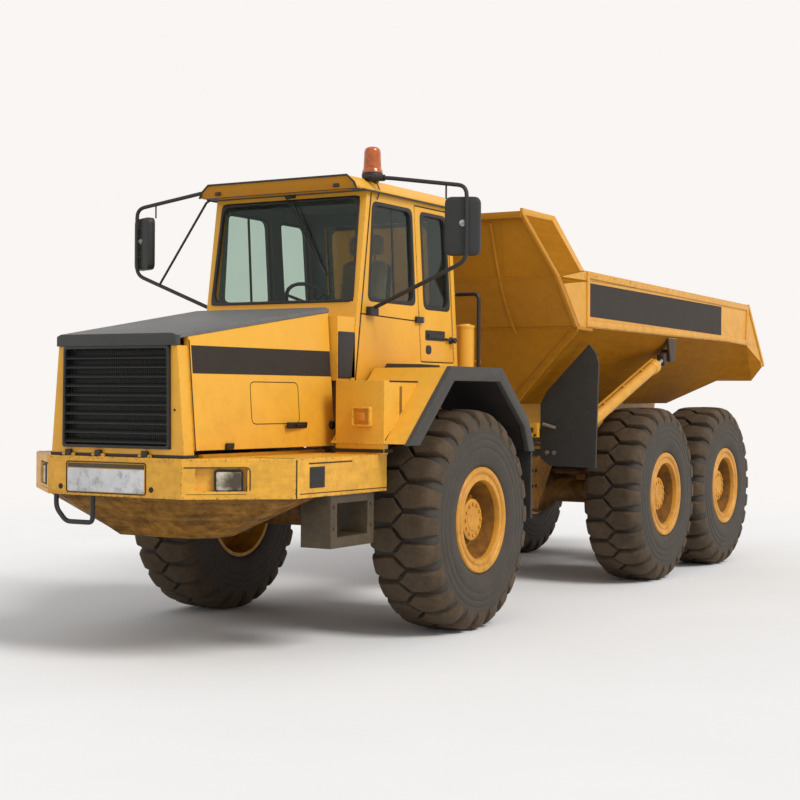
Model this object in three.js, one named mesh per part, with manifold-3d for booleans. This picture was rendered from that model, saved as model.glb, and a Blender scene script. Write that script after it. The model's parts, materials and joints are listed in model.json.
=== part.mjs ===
// Articulated dump truck: a front unit with cab and engine, hinged to a rear unit on
// four driven wheels that carries a tipping body.
// Millimetres. +Z is up and the truck faces -Y, so +X is its left side.
// Inside the machine group, y = 0 is the front axle and z = 0 is the ground.
import * as THREE from 'three';
import { mergeVertices } from 'three/addons/utils/BufferGeometryUtils.js';
import Module from 'manifold-3d';

// ---------------------------------------------------------------- driving dimensions
// Heights build up from the tyre: the frame stands on the axles, the nose and the cab stand
// on the frame, and the body lies on the rear rails.
const SEAT = 0.3;                 // gap left where two pieces seat on each other
const RUN = 8;                    // gap round a piece that opens

// Wheels and axles
const TYRE_RADIUS = 865;
const TYRE_WIDTH = 574;
const TYRE_SIDES = 36;
const RIM_RADIUS = 414;
const RIM_SIDES = 20;
const OUTER_HALF_WIDTH = 1430;    // centre line to a tyre's outer face
const WHEELBASE = 4000;           // front axle to first rear axle
const BOGIE_SPACING = 2 * TYRE_RADIUS + 90;   // first rear axle to second rear axle
const PIVOT_Y = 1200;             // steering pivot behind the front axle
const HOUSING_RADIUS = 120;       // axle tube
const DRUM_RADIUS = 210;          // brake drum at each end of an axle
const DIFFERENTIAL_RADIUS = 245;
const HUB_BACK = -30;             // back of the hub from the wheel's middle, along the axle

// Front frame, with the two ears that hold the steering pin
const FRAME_BOTTOM = TYRE_RADIUS + 225;
const FRAME_TOP = FRAME_BOTTOM + 290;
const RAIL_OUTER = 430;
const RAIL_WIDTH = 100;
const EAR = 60;                   // thickness of an ear
const EAR_RADIUS = 250;
const PIN_RADIUS = 50;
const REAR_BAR = [925, 1005];     // cross bar behind the cab, along y
const DECK_Y = [905, 1075];       // deck above that bar
const FILLER_X = 730;
const FILLER_RADIUS = 78;

// Bumper, the entry step on its left, the belly plate and the tow bar
const BUMPER_FRONT_Y = -2690;
const BUMPER_TOP = FRAME_TOP + 20;
const BUMPER_DEPTH = 268;
const BUMPER_FRONT_HALF = 582;
const BUMPER_HALF = 1157;
const BUMPER_CORNER_Y = -2200;
const BUMPER_REAR_Y = -1020;
const BUMPER_WALL = 60;
const DECK = 30;                  // thickness of the bumper's top deck
const STEP_DROP = 640;            // how far the step's tread hangs below the deck
const STEP_LENGTH = 575;
const STEP_BAR = 85;              // breadth of the step's hangers
const BELLY_DROP = 302;           // how far the belly plate reaches below the bumper
const TOW_DROP = 187;             // how far the tow bar hangs below the bumper
const TOW_RADIUS = 22;

// Hood
const NOSE_BOTTOM = BUMPER_TOP + 30;
const NOSE_TOP = BUMPER_TOP + 836;
const NOSE_FRONT_Y = -2660;
const NOSE_TOP_HALF = 512;
const NOSE_BOTTOM_HALF = 580;
const NOSE_DEPTH = 110;
const HOOD_REAR_Y = -1000;
const HOOD_REAR_TOP = NOSE_TOP + 249;
const HOOD_REAR_TOP_HALF = 627;
const HOOD_REAR_BOTTOM_HALF = 700;
const PANEL = 40;                 // thickness of the hood's sides and top
const LIP = 85;                   // height of the hood top's front edge
const GRILLE_HALF_LOW = 470;
const GRILLE_HALF_HIGH = 462;
const GRILLE_DEPTH = 60;
const SLAT_COUNT = 10;
const HINGE_PLACES = [-410, -145, 262];   // middles of the nose's hinges, along x
const KNUCKLE_LENGTH = 55;
const KNUCKLE_RADIUS = 10;

// Cab
const CAB_HALF = 715;
const CAB_WALL = 60;
const CAB_FLOOR = FRAME_TOP + 600;
const FLOOR_PLATE = 50;
const CAB_TOP = CAB_FLOOR + 1420;
const ROOF_TOP = CAB_TOP + 100;
const VISOR_Y = -800;
const WINDSHIELD_LEAN = 0.149;    // forward travel per unit of height down the windshield
const REAR_LEAN = 0.104;
const SILL_FRONT = CAB_FLOOR - 45;   // underside of the cab's side ahead of the fender
const DOOR_TOP = CAB_TOP - 40;
const WINDOW_LOW = CAB_FLOOR + 580;
const WINDOW_TOP = CAB_TOP - 78;
const SHIELD_LOW = CAB_FLOOR + 565;
const SHIELD_TOP = CAB_TOP - 38;
const BACK_WINDOW = { half: 520, low: CAB_FLOOR + 580, top: CAB_TOP - 100 };
const GLASS = 6;                  // thickness of a pane
const COWL_TOP = HOOD_REAR_TOP - 65;
const SEAT_Y = 190;
const SEAT_HALF = 245;
const SEAT_BACK = 930;            // height of the seat's back over its mounting
const WHEEL_RADIUS = 215;         // steering wheel
const STEERING_WHEEL = [-300, CAB_FLOOR + 580];   // y and z of its middle
const MIRROR_X = 1570;
const MIRROR_Y = -580;
const MIRROR_TILT = 0.42;         // turned in towards the driver, radians
const BEACON = [600, -420];

// Fenders with their lockers
const FENDER_TOP = FRAME_TOP + 660;
const FENDER_PLATE = 90;
const FENDER_FRONT_Y = -TYRE_RADIUS - 286;
const FENDER_REAR_Y = TYRE_RADIUS + 26;
const BOX_TOP = FENDER_TOP - 105;
const BOX_OUTER = 1205;
const DECK_Z = FENDER_TOP + 5;    // top of the deck behind the cab

// Hitch and rear frame
const REAR_RAIL_BOTTOM = FRAME_BOTTOM + 60;
const REAR_RAIL_TOP = REAR_RAIL_BOTTOM + 350;
const REAR_RAIL_OUTER = 400;
const HITCH_Z = FRAME_BOTTOM + 20;   // height of the axis on which the rear unit rolls
const SLEEVE_Y = PIVOT_Y + 440;      // face of the hitch on which the rear unit rolls
const SPIGOT_RADIUS = 120;
const SPIGOT_LENGTH = 300;
const RING_RADIUS = 230;
const SHAFT_RADIUS = 55;          // bogie shaft
const FLAP_Y = 2290;

// Tipping body
const BODY_HALF = 1300;           // half width over the body's side boards
const BODY_BOTTOM = REAR_RAIL_TOP + 260;
const BODY_CHINE = BODY_BOTTOM + 690;   // bottom edge of the side boards
const BODY_TOP = BODY_CHINE + 520;
const BODY_WALL = 60;
const FLOOR_HALF = BODY_HALF - 700;
const HEADBOARD = 70;             // headboard thickness along the truck
const HEAD_Y = 2200;              // front of the headboard at its foot
const GUARD_TOP = BODY_TOP + 480;
const GUARD_HALF = BODY_HALF - 300;
const SIDE_WALL = 55;
const TIP_Y = WHEELBASE + BOGIE_SPACING + 530;   // hinge on which the body tips
const TIP_Z = REAR_RAIL_TOP + 60;
const TIP_PIN = 43;
const RISE_Y = TIP_Y - 200;       // where the floor starts to rise to the tail
const REAR_TOP_Y = TIP_Y + 580;
const REAR_TOP = BODY_TOP - 60;
const TAIL_Y = TIP_Y + 1170;
const TAIL_TOP = BODY_CHINE - 234;
const TAIL_LOW = BODY_CHINE - 420;

// Tipping hoists
const HOIST_X = BODY_HALF - 75;
const HOIST_FOOT = [HEAD_Y + 230, REAR_RAIL_TOP + 55];    // y and z of the lower eye
const HOIST_HEAD = [WHEELBASE + 470, BODY_CHINE - 195];   // y and z of the upper eye
const HOIST_RADIUS = 58;
const STAGE_RADIUS = 44;
const HOIST_ROD = 30;
const HOIST_PIN = 32;
const HOIST_FIT = 0.5;            // running gap between one tube and the next
const EYE_HALF = 40;              // half the length of a hoist's eye

// ---------------------------------------------------------------- colours
const YELLOW = 0xe3a72f;
const CHARCOAL = 0x4a4947;
const BLACK = 0x1d1d1d;
const TYRE_BLACK = 0x4b4036;
const GLASS_TINT = 0x9fb3aa;
const STEEL = 0x9a9a96;
const AMBER = 0xe06a1a;
const TAN = 0x8a6a48;

// ---------------------------------------------------------------- solids
const wasm = await Module();
wasm.setup();

function bare(geometry) {
  const copy = geometry.clone();
  for (const name of Object.keys(copy.attributes)) {
    if (name !== 'position') copy.deleteAttribute(name);
  }
  return mergeVertices(copy, 1e-3);
}

function toSolid(geometry) {
  const merged = bare(geometry);
  return new wasm.Manifold(new wasm.Mesh({
    numProp: 3,
    vertProperties: new Float32Array(merged.attributes.position.array),
    triVerts: new Uint32Array(merged.index.array),
  }));
}

function toGeometry(solid) {
  const mesh = solid.getMesh();
  const geometry = new THREE.BufferGeometry();
  geometry.setAttribute('position', new THREE.BufferAttribute(new Float32Array(mesh.vertProperties), 3));
  geometry.setIndex(new THREE.BufferAttribute(new Uint32Array(mesh.triVerts), 1));
  return geometry;
}

function join(...geometries) {
  return toGeometry(geometries.map(toSolid).reduce((sum, next) => sum.add(next)));
}

function cut(geometry, ...cutters) {
  return toGeometry(cutters.map(toSolid).reduce((rest, next) => rest.subtract(next), toSolid(geometry)));
}

// A box between two corners, given as ranges along x, y and z.
function box([x0, x1], [y0, y1], [z0, z1]) {
  const geometry = new THREE.BoxGeometry(x1 - x0, y1 - y0, z1 - z0);
  return geometry.translate((x0 + x1) / 2, (y0 + y1) / 2, (z0 + z1) / 2);
}

function outline(points) {
  return new THREE.Shape(points.map(([u, v]) => new THREE.Vector2(u, v)));
}

// Outlines drawn in one plane and given a thickness along the third axis.
function sideways(points, x0, x1) {
  const geometry = new THREE.ExtrudeGeometry(outline(points), { depth: x1 - x0, bevelEnabled: false });
  const turn = new THREE.Matrix4().set(0, 0, 1, x0, 1, 0, 0, 0, 0, 1, 0, 0, 0, 0, 0, 1);
  return geometry.applyMatrix4(turn);
}

function flat(points, z0, z1) {
  const geometry = new THREE.ExtrudeGeometry(outline(points), { depth: z1 - z0, bevelEnabled: false });
  return geometry.translate(0, 0, z0);
}

function across(points, y0, y1) {
  const geometry = new THREE.ExtrudeGeometry(outline(points), { depth: y1 - y0, bevelEnabled: false });
  const turn = new THREE.Matrix4().set(1, 0, 0, 0, 0, 0, -1, y1, 0, 1, 0, 0, 0, 0, 0, 1);
  return geometry.applyMatrix4(turn);
}

// A closed skin over rings of equal point count, with flat caps at both ends.
function loft(rings) {
  const count = rings[0].length;
  const positions = rings.flat(2);
  const index = [];
  for (let ring = 0; ring + 1 < rings.length; ring += 1) {
    for (let k = 0; k < count; k += 1) {
      const a = ring * count + k;
      const b = ring * count + ((k + 1) % count);
      index.push(a, b, b + count, a, b + count, a + count);
    }
  }
  const capOf = (ring) => {
    const points = ring.map((p) => new THREE.Vector3(...p));
    const normal = new THREE.Vector3();
    points.forEach((p, k) => normal.add(p.clone().cross(points[(k + 1) % count])));
    const right = points[1].clone().sub(points[0]).normalize();
    const up = normal.normalize().cross(right);
    const drawn = points.map((p) => new THREE.Vector2(p.dot(right), p.dot(up)));
    return THREE.ShapeUtils.triangulateShape(drawn, []);
  };
  for (const [i, j, k] of capOf(rings[0])) index.push(k, j, i);
  const last = (rings.length - 1) * count;
  for (const [i, j, k] of capOf(rings[rings.length - 1])) index.push(last + i, last + j, last + k);
  const geometry = new THREE.BufferGeometry();
  geometry.setAttribute('position', new THREE.Float32BufferAttribute(positions, 3));
  geometry.setIndex(index);
  return outward(geometry);
}

// Turns a closed skin's faces outwards if they point in.
function outward(geometry) {
  const p = geometry.attributes.position;
  const index = geometry.index.array;
  const [a, b, c] = [0, 1, 2].map(() => new THREE.Vector3());
  let volume = 0;
  for (let k = 0; k < index.length; k += 3) {
    a.fromBufferAttribute(p, index[k]);
    b.fromBufferAttribute(p, index[k + 1]);
    c.fromBufferAttribute(p, index[k + 2]);
    volume += a.dot(b.cross(c));
  }
  if (volume < 0) {
    for (let k = 0; k < index.length; k += 3) [index[k], index[k + 1]] = [index[k + 1], index[k]];
  }
  return geometry;
}

// The same piece on the truck's other side.
function mirrored(geometry) {
  const copy = bare(geometry);
  copy.scale(-1, 1, 1);
  return outward(copy);
}

// A round bar from one point to another.
function bar(from, to, radius, sides = 16) {
  const start = new THREE.Vector3(...from);
  const end = new THREE.Vector3(...to);
  const geometry = new THREE.CylinderGeometry(radius, radius, start.distanceTo(end), sides);
  const along = new THREE.Vector3().subVectors(end, start).normalize();
  geometry.applyQuaternion(new THREE.Quaternion().setFromUnitVectors(new THREE.Vector3(0, 1, 0), along));
  return geometry.translate(...start.add(end).multiplyScalar(0.5).toArray());
}

// A round bar bent at its inner points, with a given bend radius.
function bentBar(points, radius, bend, sides = 10) {
  const p = points.map((q) => new THREE.Vector3(...q));
  const stations = [p[0]];
  for (let k = 1; k + 1 < p.length; k += 1) {
    const back = new THREE.Vector3().subVectors(p[k - 1], p[k]).setLength(bend);
    const ahead = new THREE.Vector3().subVectors(p[k + 1], p[k]).setLength(bend);
    const corner = new THREE.QuadraticBezierCurve3(back.add(p[k]), p[k], ahead.add(p[k]));
    stations.push(...corner.getPoints(4));
  }
  stations.push(p[p.length - 1]);
  const rings = [];
  const side = new THREE.Vector3();
  let reference = null;
  stations.forEach((station, k) => {
    const along = new THREE.Vector3()
      .subVectors(stations[Math.min(k + 1, stations.length - 1)], stations[Math.max(k - 1, 0)]).normalize();
    if (!reference) {
      reference = Math.abs(along.z) < 0.9 ? new THREE.Vector3(0, 0, 1) : new THREE.Vector3(0, 1, 0);
    }
    side.crossVectors(along, reference).normalize();
    const up = new THREE.Vector3().crossVectors(side, along);
    reference = up.clone();
    rings.push(Array.from({ length: sides }, (_, j) => {
      const angle = (j / sides) * 2 * Math.PI;
      return station.clone().addScaledVector(side, radius * Math.cos(angle))
        .addScaledVector(up, radius * Math.sin(angle)).toArray();
    }));
  });
  return loft(rings);
}

// A hinge at a point of its line: the moving knuckle's end meets the fixed one's. Each comes
// with the room that the other piece leaves round it.
function hinge(at, along) {
  const place = (d) => new THREE.Vector3(...at).addScaledVector(along, d).toArray();
  const piece = (d0, d1, grow) => bar(place(d0), place(d1), KNUCKLE_RADIUS + grow, 12);
  return {
    moving: piece(-KNUCKLE_LENGTH, 0, 0),
    fixed: piece(SEAT, KNUCKLE_LENGTH, 0),
    movingRoom: piece(-KNUCKLE_LENGTH - 2, SEAT, 1.5),
    fixedRoom: piece(0, KNUCKLE_LENGTH + 2, 1.5),
  };
}

function withHinges(geometry, hinges, kind) {
  const room = kind === 'moving' ? 'fixedRoom' : 'movingRoom';
  return join(cut(geometry, ...hinges.map((h) => h[room])), ...hinges.map((h) => h[kind]));
}

// A shape turned about a line along x. The profile holds [distance along x, radius].
function turned(profile, sides, x, y, z, outwardSign = 1) {
  const points = profile.map(([u, r]) => new THREE.Vector2(r, u));
  const geometry = new THREE.LatheGeometry(points, sides);
  geometry.rotateY(Math.PI / sides);
  const lay = new THREE.Matrix4().set(0, 1, 0, 0, 1, 0, 0, 0, 0, 0, 1, 0, 0, 0, 0, 1);
  const laid = bare(geometry);
  laid.applyMatrix4(lay);
  if (outwardSign < 0) laid.scale(-1, 1, 1);
  laid.translate(x, y, z);
  return outward(laid);
}

// ---------------------------------------------------------------- the scene
const machine = new THREE.Group();

function material(color, roughness, metalness = 0) {
  return new THREE.MeshStandardMaterial({ color, roughness, metalness });
}

function add(name, geometry, color, roughness = 0.55, metalness = 0) {
  const mesh = new THREE.Mesh(geometry, material(color, roughness, metalness));
  mesh.name = name;
  machine.add(mesh);
  return mesh;
}

const SIDES = [['left', 1], ['right', -1]];

function onSide(geometry, sign) {
  return sign > 0 ? geometry : mirrored(geometry);
}

// ---------------------------------------------------------------- wheels and axles
const WHEEL_X = OUTER_HALF_WIDTH - TYRE_WIDTH / 2;
const AXLE_Z = TYRE_RADIUS * Math.cos(Math.PI / TYRE_SIDES);   // a flat of the tyre stands on the ground
const AXLES = [['front', 0], ['middle', WHEELBASE], ['rear', WHEELBASE + BOGIE_SPACING]];

function tyre(x, y, sign) {
  const half = TYRE_WIDTH / 2;
  const bead = (RIM_RADIUS + SEAT) / Math.cos(Math.PI / TYRE_SIDES);
  const profile = [
    [-half + 34, bead], [-half + 6, bead + 60], [-half, bead + 170], [-half + 12, TYRE_RADIUS - 75],
    [-half + 62, TYRE_RADIUS],
  ];
  const closed = [...profile, ...profile.map(([u, r]) => [-u, r]).reverse(), profile[0]];
  return turned(closed, TYRE_SIDES, x, y, AXLE_Z, sign);
}

function rim(x, y, sign) {
  const face = TYRE_WIDTH / 2 - 11;
  const back = -TYRE_WIDTH / 2 + 30;
  const profile = [
    [face - 80, 0], [face - 80, 150], [face - 94, 164], [75, 190], [60, 215], [60, 262], [200, 300],
    [face, 306], [face, RIM_RADIUS], [back, RIM_RADIUS], [back, RIM_RADIUS - 30], [10, 372], [20, 240],
    [20, 150], [HUB_BACK, 140], [HUB_BACK, 0],
  ];
  return turned(profile, RIM_SIDES, x, y, AXLE_Z, sign);
}

function axleBeam(y) {
  const end = WHEEL_X + HUB_BACK - SEAT;
  const drumFrom = WHEEL_X - TYRE_WIDTH / 2 - 10;
  const parts = [
    bar([-end, y, AXLE_Z], [end, y, AXLE_Z], HOUSING_RADIUS, 16),
    new THREE.SphereGeometry(DIFFERENTIAL_RADIUS, 16, 10).scale(1, 1.05, 1).translate(0, y, AXLE_Z),
  ];
  for (const [, sign] of SIDES) {
    parts.push(bar([sign * drumFrom, y, AXLE_Z], [sign * (end - 50), y, AXLE_Z], DRUM_RADIUS, 18));
  }
  return parts;
}

for (const [place, y] of AXLES) {
  for (const [side, sign] of SIDES) {
    add(`tyre_${place}_${side}`, tyre(sign * WHEEL_X, y, sign), TYRE_BLACK, 0.9);
    add(`rim_${place}_${side}`, rim(sign * WHEEL_X, y, sign), YELLOW);
  }
}

// The front axle carries the rails on two spring seats.
const springSeats = SIDES.map(([, sign]) => box(
  [sign * (RAIL_OUTER - RAIL_WIDTH / 2) - 60, sign * (RAIL_OUTER - RAIL_WIDTH / 2) + 60],
  [-130, 130], [AXLE_Z, FRAME_BOTTOM - SEAT]));
add('front_axle', join(...axleBeam(0), ...springSeats), YELLOW);
add('middle_axle', join(...axleBeam(WHEELBASE)), YELLOW);
add('rear_axle', join(...axleBeam(WHEELBASE + BOGIE_SPACING)), YELLOW);

// ---------------------------------------------------------------- front frame
const BUMPER_BOTTOM = BUMPER_TOP - BUMPER_DEPTH;
const BEARING_Z = [FRAME_BOTTOM - 230, FRAME_TOP - 20];   // lower and upper hitch ear
const ENGINE_HALF = RAIL_OUTER - RAIL_WIDTH - 30;
const OUTRIGGER_Y = BUMPER_REAR_Y - BUMPER_WALL - 60;
const RAIL_FRONT_Y = BUMPER_FRONT_Y + 450;
const FENDER_INNER = CAB_HALF + 35;
const REAR_BAR_TOP = FRAME_TOP - 30;

function hitchEar(z) {
  const plate = box([-EAR_RADIUS, EAR_RADIUS], [PIVOT_Y - 500, PIVOT_Y], [z, z + EAR]);
  return join(plate, new THREE.CylinderGeometry(EAR_RADIUS, EAR_RADIUS, EAR, 24).rotateX(Math.PI / 2)
    .translate(0, PIVOT_Y, z + EAR / 2));
}

function frontFrame() {
  const parts = [];
  for (const [, sign] of SIDES) {
    const rail = [RAIL_OUTER - RAIL_WIDTH, RAIL_OUTER];
    parts.push(onSide(box(rail, [RAIL_FRONT_Y, PIVOT_Y - 300], [FRAME_BOTTOM, FRAME_TOP]), sign));
    for (const y of [-620, 640]) {
      parts.push(onSide(box(rail, [y, y + 110], [FRAME_TOP - 10, CAB_FLOOR - FLOOR_PLATE - SEAT]), sign));
    }
  }
  const reach = BUMPER_HALF - BUMPER_WALL - SEAT;
  parts.push(box([-reach, reach], [OUTRIGGER_Y - 60, OUTRIGGER_Y + 60],
    [FRAME_TOP - 110, BUMPER_TOP - DECK - SEAT]));
  parts.push(box([-RAIL_OUTER, RAIL_OUTER], [RAIL_FRONT_Y, RAIL_FRONT_Y + 110], [FRAME_BOTTOM, FRAME_TOP]));
  parts.push(box([-FENDER_INNER - 110, FENDER_INNER + 110], REAR_BAR, [REAR_BAR_TOP - 100, REAR_BAR_TOP]));
  // Deck behind the cab on two posts, with the filler pipe standing on it.
  parts.push(box([-870, 870], DECK_Y, [DECK_Z - 55, DECK_Z]));
  for (const x of [-600, 540]) {
    parts.push(box([x, x + 60], [REAR_BAR[0] + 5, REAR_BAR[1] - 5], [REAR_BAR_TOP - 10, DECK_Z - 20]));
  }
  const fillerY = DECK_Y[0] + 87;
  parts.push(bar([FILLER_X, fillerY, DECK_Z - 20], [FILLER_X, fillerY, DECK_Z + 365], FILLER_RADIUS, 16));
  parts.push(box([-RAIL_OUTER, RAIL_OUTER], [PIVOT_Y - 500, PIVOT_Y - 240], [BEARING_Z[0], FRAME_TOP + 40]));
  parts.push(...BEARING_Z.map(hitchEar));
  parts.push(bar([0, PIVOT_Y, BEARING_Z[0] + 5], [0, PIVOT_Y, BEARING_Z[1] + 5], PIN_RADIUS, 20));
  return join(...parts);
}
add('front_frame', frontFrame(), YELLOW);

// ---------------------------------------------------------------- bumper with its entry step
const bumperOuter = [
  [BUMPER_FRONT_HALF, BUMPER_FRONT_Y], [BUMPER_HALF, BUMPER_CORNER_Y], [BUMPER_HALF, BUMPER_REAR_Y],
];

function bothSides(half) {
  return [...half, ...half.map(([x, y]) => [-x, y]).reverse()];
}

function bumperStep() {
  const [x0, x1] = [BUMPER_HALF - 270, BUMPER_HALF - 20];
  const [y0, y1] = [BUMPER_REAR_Y - 145 - STEP_LENGTH, BUMPER_REAR_Y - 145];
  const low = BUMPER_TOP - STEP_DROP;
  const loop = box([x0, x1], [y0, y1], [low, BUMPER_BOTTOM + 60]);
  return cut(loop, box([x0 - 1, x1 + 1], [y0 + STEP_BAR, y1 - STEP_BAR],
    [low + STEP_BAR - 10, BUMPER_BOTTOM - 60]));
}

function bumper() {
  const inset = BUMPER_WALL;
  const inner = [
    [BUMPER_FRONT_HALF - inset * 0.4, BUMPER_FRONT_Y + inset],
    [BUMPER_HALF - inset, BUMPER_CORNER_Y + inset * 0.4],
    [BUMPER_HALF - inset, BUMPER_REAR_Y + 1],
  ];
  const shell = flat(bothSides(bumperOuter), BUMPER_BOTTOM, BUMPER_TOP);
  const hollow = flat(bothSides(inner), BUMPER_BOTTOM - 1, BUMPER_TOP - DECK);
  const bay = box([-RAIL_OUTER - 40, RAIL_OUTER + 40], [RAIL_FRONT_Y - 10, 0],
    [BUMPER_BOTTOM, BUMPER_TOP + 1]);
  const lamps = SIDES.map(([, sign]) => {
    const recess = new THREE.BoxGeometry(340, 90, 150);
    const slope = Math.atan2(BUMPER_CORNER_Y - BUMPER_FRONT_Y, BUMPER_HALF - BUMPER_FRONT_HALF);
    recess.rotateZ(sign * slope);
    const x = BUMPER_FRONT_HALF + 200;
    const y = BUMPER_FRONT_Y + 200 * Math.tan(slope);
    return recess.translate(sign * x, y, BUMPER_TOP - 140);
  });
  return join(cut(shell, hollow, bay, ...lamps), bumperStep());
}

function bellyPlate() {
  const top = bothSides([[565, BUMPER_FRONT_Y + 80], [1130, BUMPER_CORNER_Y + 15], [1130, -1900]])
    .map(([x, y]) => [x, y, BUMPER_BOTTOM - SEAT]);
  const low = bothSides([[300, -2260], [430, -2130], [430, -1900]])
    .map(([x, y]) => [x, y, BUMPER_BOTTOM - BELLY_DROP]);
  return cut(loft([low, top]), box([-RAIL_OUTER - 5, RAIL_OUTER + 5], [RAIL_FRONT_Y - 5, -1890],
    [FRAME_BOTTOM - SEAT, FRAME_TOP]));
}
add('belly_plate', bellyPlate(), YELLOW);

const TOW_Y = BUMPER_FRONT_Y + TOW_RADIUS + 2;
const TOW_LOW = BUMPER_BOTTOM - TOW_DROP;
const towLine = [[-530, BUMPER_BOTTOM - SEAT], [-530, TOW_LOW + 90], [-440, TOW_LOW], [-200, TOW_LOW],
  [-200, BUMPER_BOTTOM - SEAT]];
add('tow_bar', bentBar(towLine.map(([x, z]) => [x, TOW_Y, z]), TOW_RADIUS, 40), BLACK);

// ---------------------------------------------------------------- hood

function mix(a, b, t) {
  return a + (b - a) * t;
}

// Half width of the hood's side at a place along it and at a height.
function hoodHalf(y, z) {
  const back = (y - NOSE_FRONT_Y) / (HOOD_REAR_Y - NOSE_FRONT_Y);
  const low = mix(NOSE_BOTTOM_HALF, HOOD_REAR_BOTTOM_HALF, back);
  const high = mix(NOSE_TOP_HALF, HOOD_REAR_TOP_HALF, back);
  const top = mix(NOSE_TOP, HOOD_REAR_TOP, back);
  return mix(low, high, (z - NOSE_BOTTOM) / (top - NOSE_BOTTOM));
}

function hoodTopZ(y) {
  return mix(NOSE_TOP, HOOD_REAR_TOP, (y - NOSE_FRONT_Y) / (HOOD_REAR_Y - NOSE_FRONT_Y));
}

const GRILLE_LOW = NOSE_BOTTOM + 30;
const GRILLE_HIGH = NOSE_TOP - LIP;
const GRILLE_FRONT_Y = NOSE_FRONT_Y - 20;

// The hood tilts forward on three hinges that lie along the nose's lower front edge. One
// half of each stands on the bumper and the other is on the nose.
const HOOD_HINGE = [NOSE_FRONT_Y - 12, BUMPER_TOP + 12];   // y and z of the line
const hoodHinges = HINGE_PLACES.map((x) => hinge([x, ...HOOD_HINGE], new THREE.Vector3(1, 0, 0)));

function hingeTabs(fixed) {
  const [y, z] = HOOD_HINGE;
  return HINGE_PLACES.map((x) => (fixed
    ? box([x + SEAT, x + KNUCKLE_LENGTH], [y - 8, y + 8], [BUMPER_TOP - 1, z - 2])
    : box([x - KNUCKLE_LENGTH, x], [y, NOSE_FRONT_Y + 5], [z - 6, z + 6])));
}
add('bumper', withHinges(join(bumper(), ...hingeTabs(true)), hoodHinges, 'fixed'), YELLOW);

function noseFrame() {
  const ring = (z) => {
    const half = hoodHalf(NOSE_FRONT_Y, z);
    return [[-half, NOSE_FRONT_Y, z], [half, NOSE_FRONT_Y, z], [half, NOSE_FRONT_Y + NOSE_DEPTH, z],
      [-half, NOSE_FRONT_Y + NOSE_DEPTH, z]];
  };
  const shell = loft([ring(BUMPER_TOP + SEAT), ring(GRILLE_HIGH - SEAT)]);
  const hole = across([[-GRILLE_HALF_LOW, GRILLE_LOW], [GRILLE_HALF_LOW, GRILLE_LOW],
    [GRILLE_HALF_HIGH, GRILLE_HIGH + 20], [-GRILLE_HALF_HIGH, GRILLE_HIGH + 20]],
  NOSE_FRONT_Y - 1, NOSE_FRONT_Y + NOSE_DEPTH + 1);
  return cut(shell, hole);
}
add('nose_frame', withHinges(join(noseFrame(), ...hingeTabs(false)), hoodHinges, 'moving'), YELLOW);

// The grille stands proud of its frame by the depth of its slats.
function grille() {
  const [low, high] = [GRILLE_HALF_LOW - SEAT, GRILLE_HALF_HIGH - SEAT];
  const panel = across([[-low, GRILLE_LOW + SEAT], [low, GRILLE_LOW + SEAT], [high, GRILLE_HIGH - SEAT],
    [-high, GRILLE_HIGH - SEAT]], GRILLE_FRONT_Y, GRILLE_FRONT_Y + GRILLE_DEPTH);
  const pitch = (GRILLE_HIGH - GRILLE_LOW - 70) / SLAT_COUNT;
  const slots = Array.from({ length: SLAT_COUNT }, (_, k) => {
    const z = GRILLE_LOW + 40 + k * pitch;
    return box([-GRILLE_HALF_HIGH + 35, GRILLE_HALF_HIGH - 35], [GRILLE_FRONT_Y - 1, GRILLE_FRONT_Y + 30],
      [z, z + pitch * 0.45]);
  });
  return cut(panel, ...slots);
}
add('grille', grille(), BLACK, 0.5);

function hoodTop() {
  const ring = (y) => {
    const top = hoodTopZ(y);
    const half = hoodHalf(y, top) + 6;
    return [[-half, y, top - PANEL], [-half, y, top - 12], [-half + 30, y, top], [half - 30, y, top],
      [half, y, top - 12], [half, y, top - PANEL]];
  };
  const skin = loft([ring(GRILLE_FRONT_Y), ring(HOOD_REAR_Y)]);
  const lipHalf = hoodHalf(NOSE_FRONT_Y, NOSE_TOP - PANEL) + 6;
  const lip = box([-lipHalf, lipHalf], [GRILLE_FRONT_Y, NOSE_FRONT_Y + 30],
    [GRILLE_HIGH, NOSE_TOP - PANEL / 2]);
  return join(skin, lip);
}
add('hood_top', hoodTop(), CHARCOAL, 0.75);

// The hood's sides hang from its top, behind the nose.
function hoodSide() {
  const edge = (y) => {
    const low = NOSE_BOTTOM + 20;
    const high = hoodTopZ(y) - PANEL - SEAT;
    return [[hoodHalf(y, low), y, low], [hoodHalf(y, high), y, high], [hoodHalf(y, high) - PANEL, y, high],
      [hoodHalf(y, low) - PANEL, y, low]];
  };
  return loft([edge(NOSE_FRONT_Y + NOSE_DEPTH + SEAT), edge(HOOD_REAR_Y - RUN)]);
}
for (const [side, sign] of SIDES) add(`hood_side_${side}`, onSide(hoodSide(), sign), YELLOW);

// The engine with its radiator, as one plain block between the rails.
const engineBlock = box([-ENGINE_HALF, ENGINE_HALF], [RAIL_FRONT_Y + 130, OUTRIGGER_Y - 70],
  [FRAME_BOTTOM + 40, NOSE_TOP - 156]);
const radiator = box([-430, 430], [-2400, -2280], [BUMPER_TOP + SEAT, NOSE_TOP - 116]);
const radiatorHose = box([-60, 60], [-2300, RAIL_FRONT_Y + 140], [NOSE_TOP - 336, NOSE_TOP - 236]);
const mountFeet = box([-RAIL_OUTER, RAIL_OUTER], [-1700, -1600], [FRAME_TOP + SEAT, FRAME_TOP + 80]);
add('engine', join(engineBlock, radiator, radiatorHose, mountFeet), BLACK, 0.7);

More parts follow.
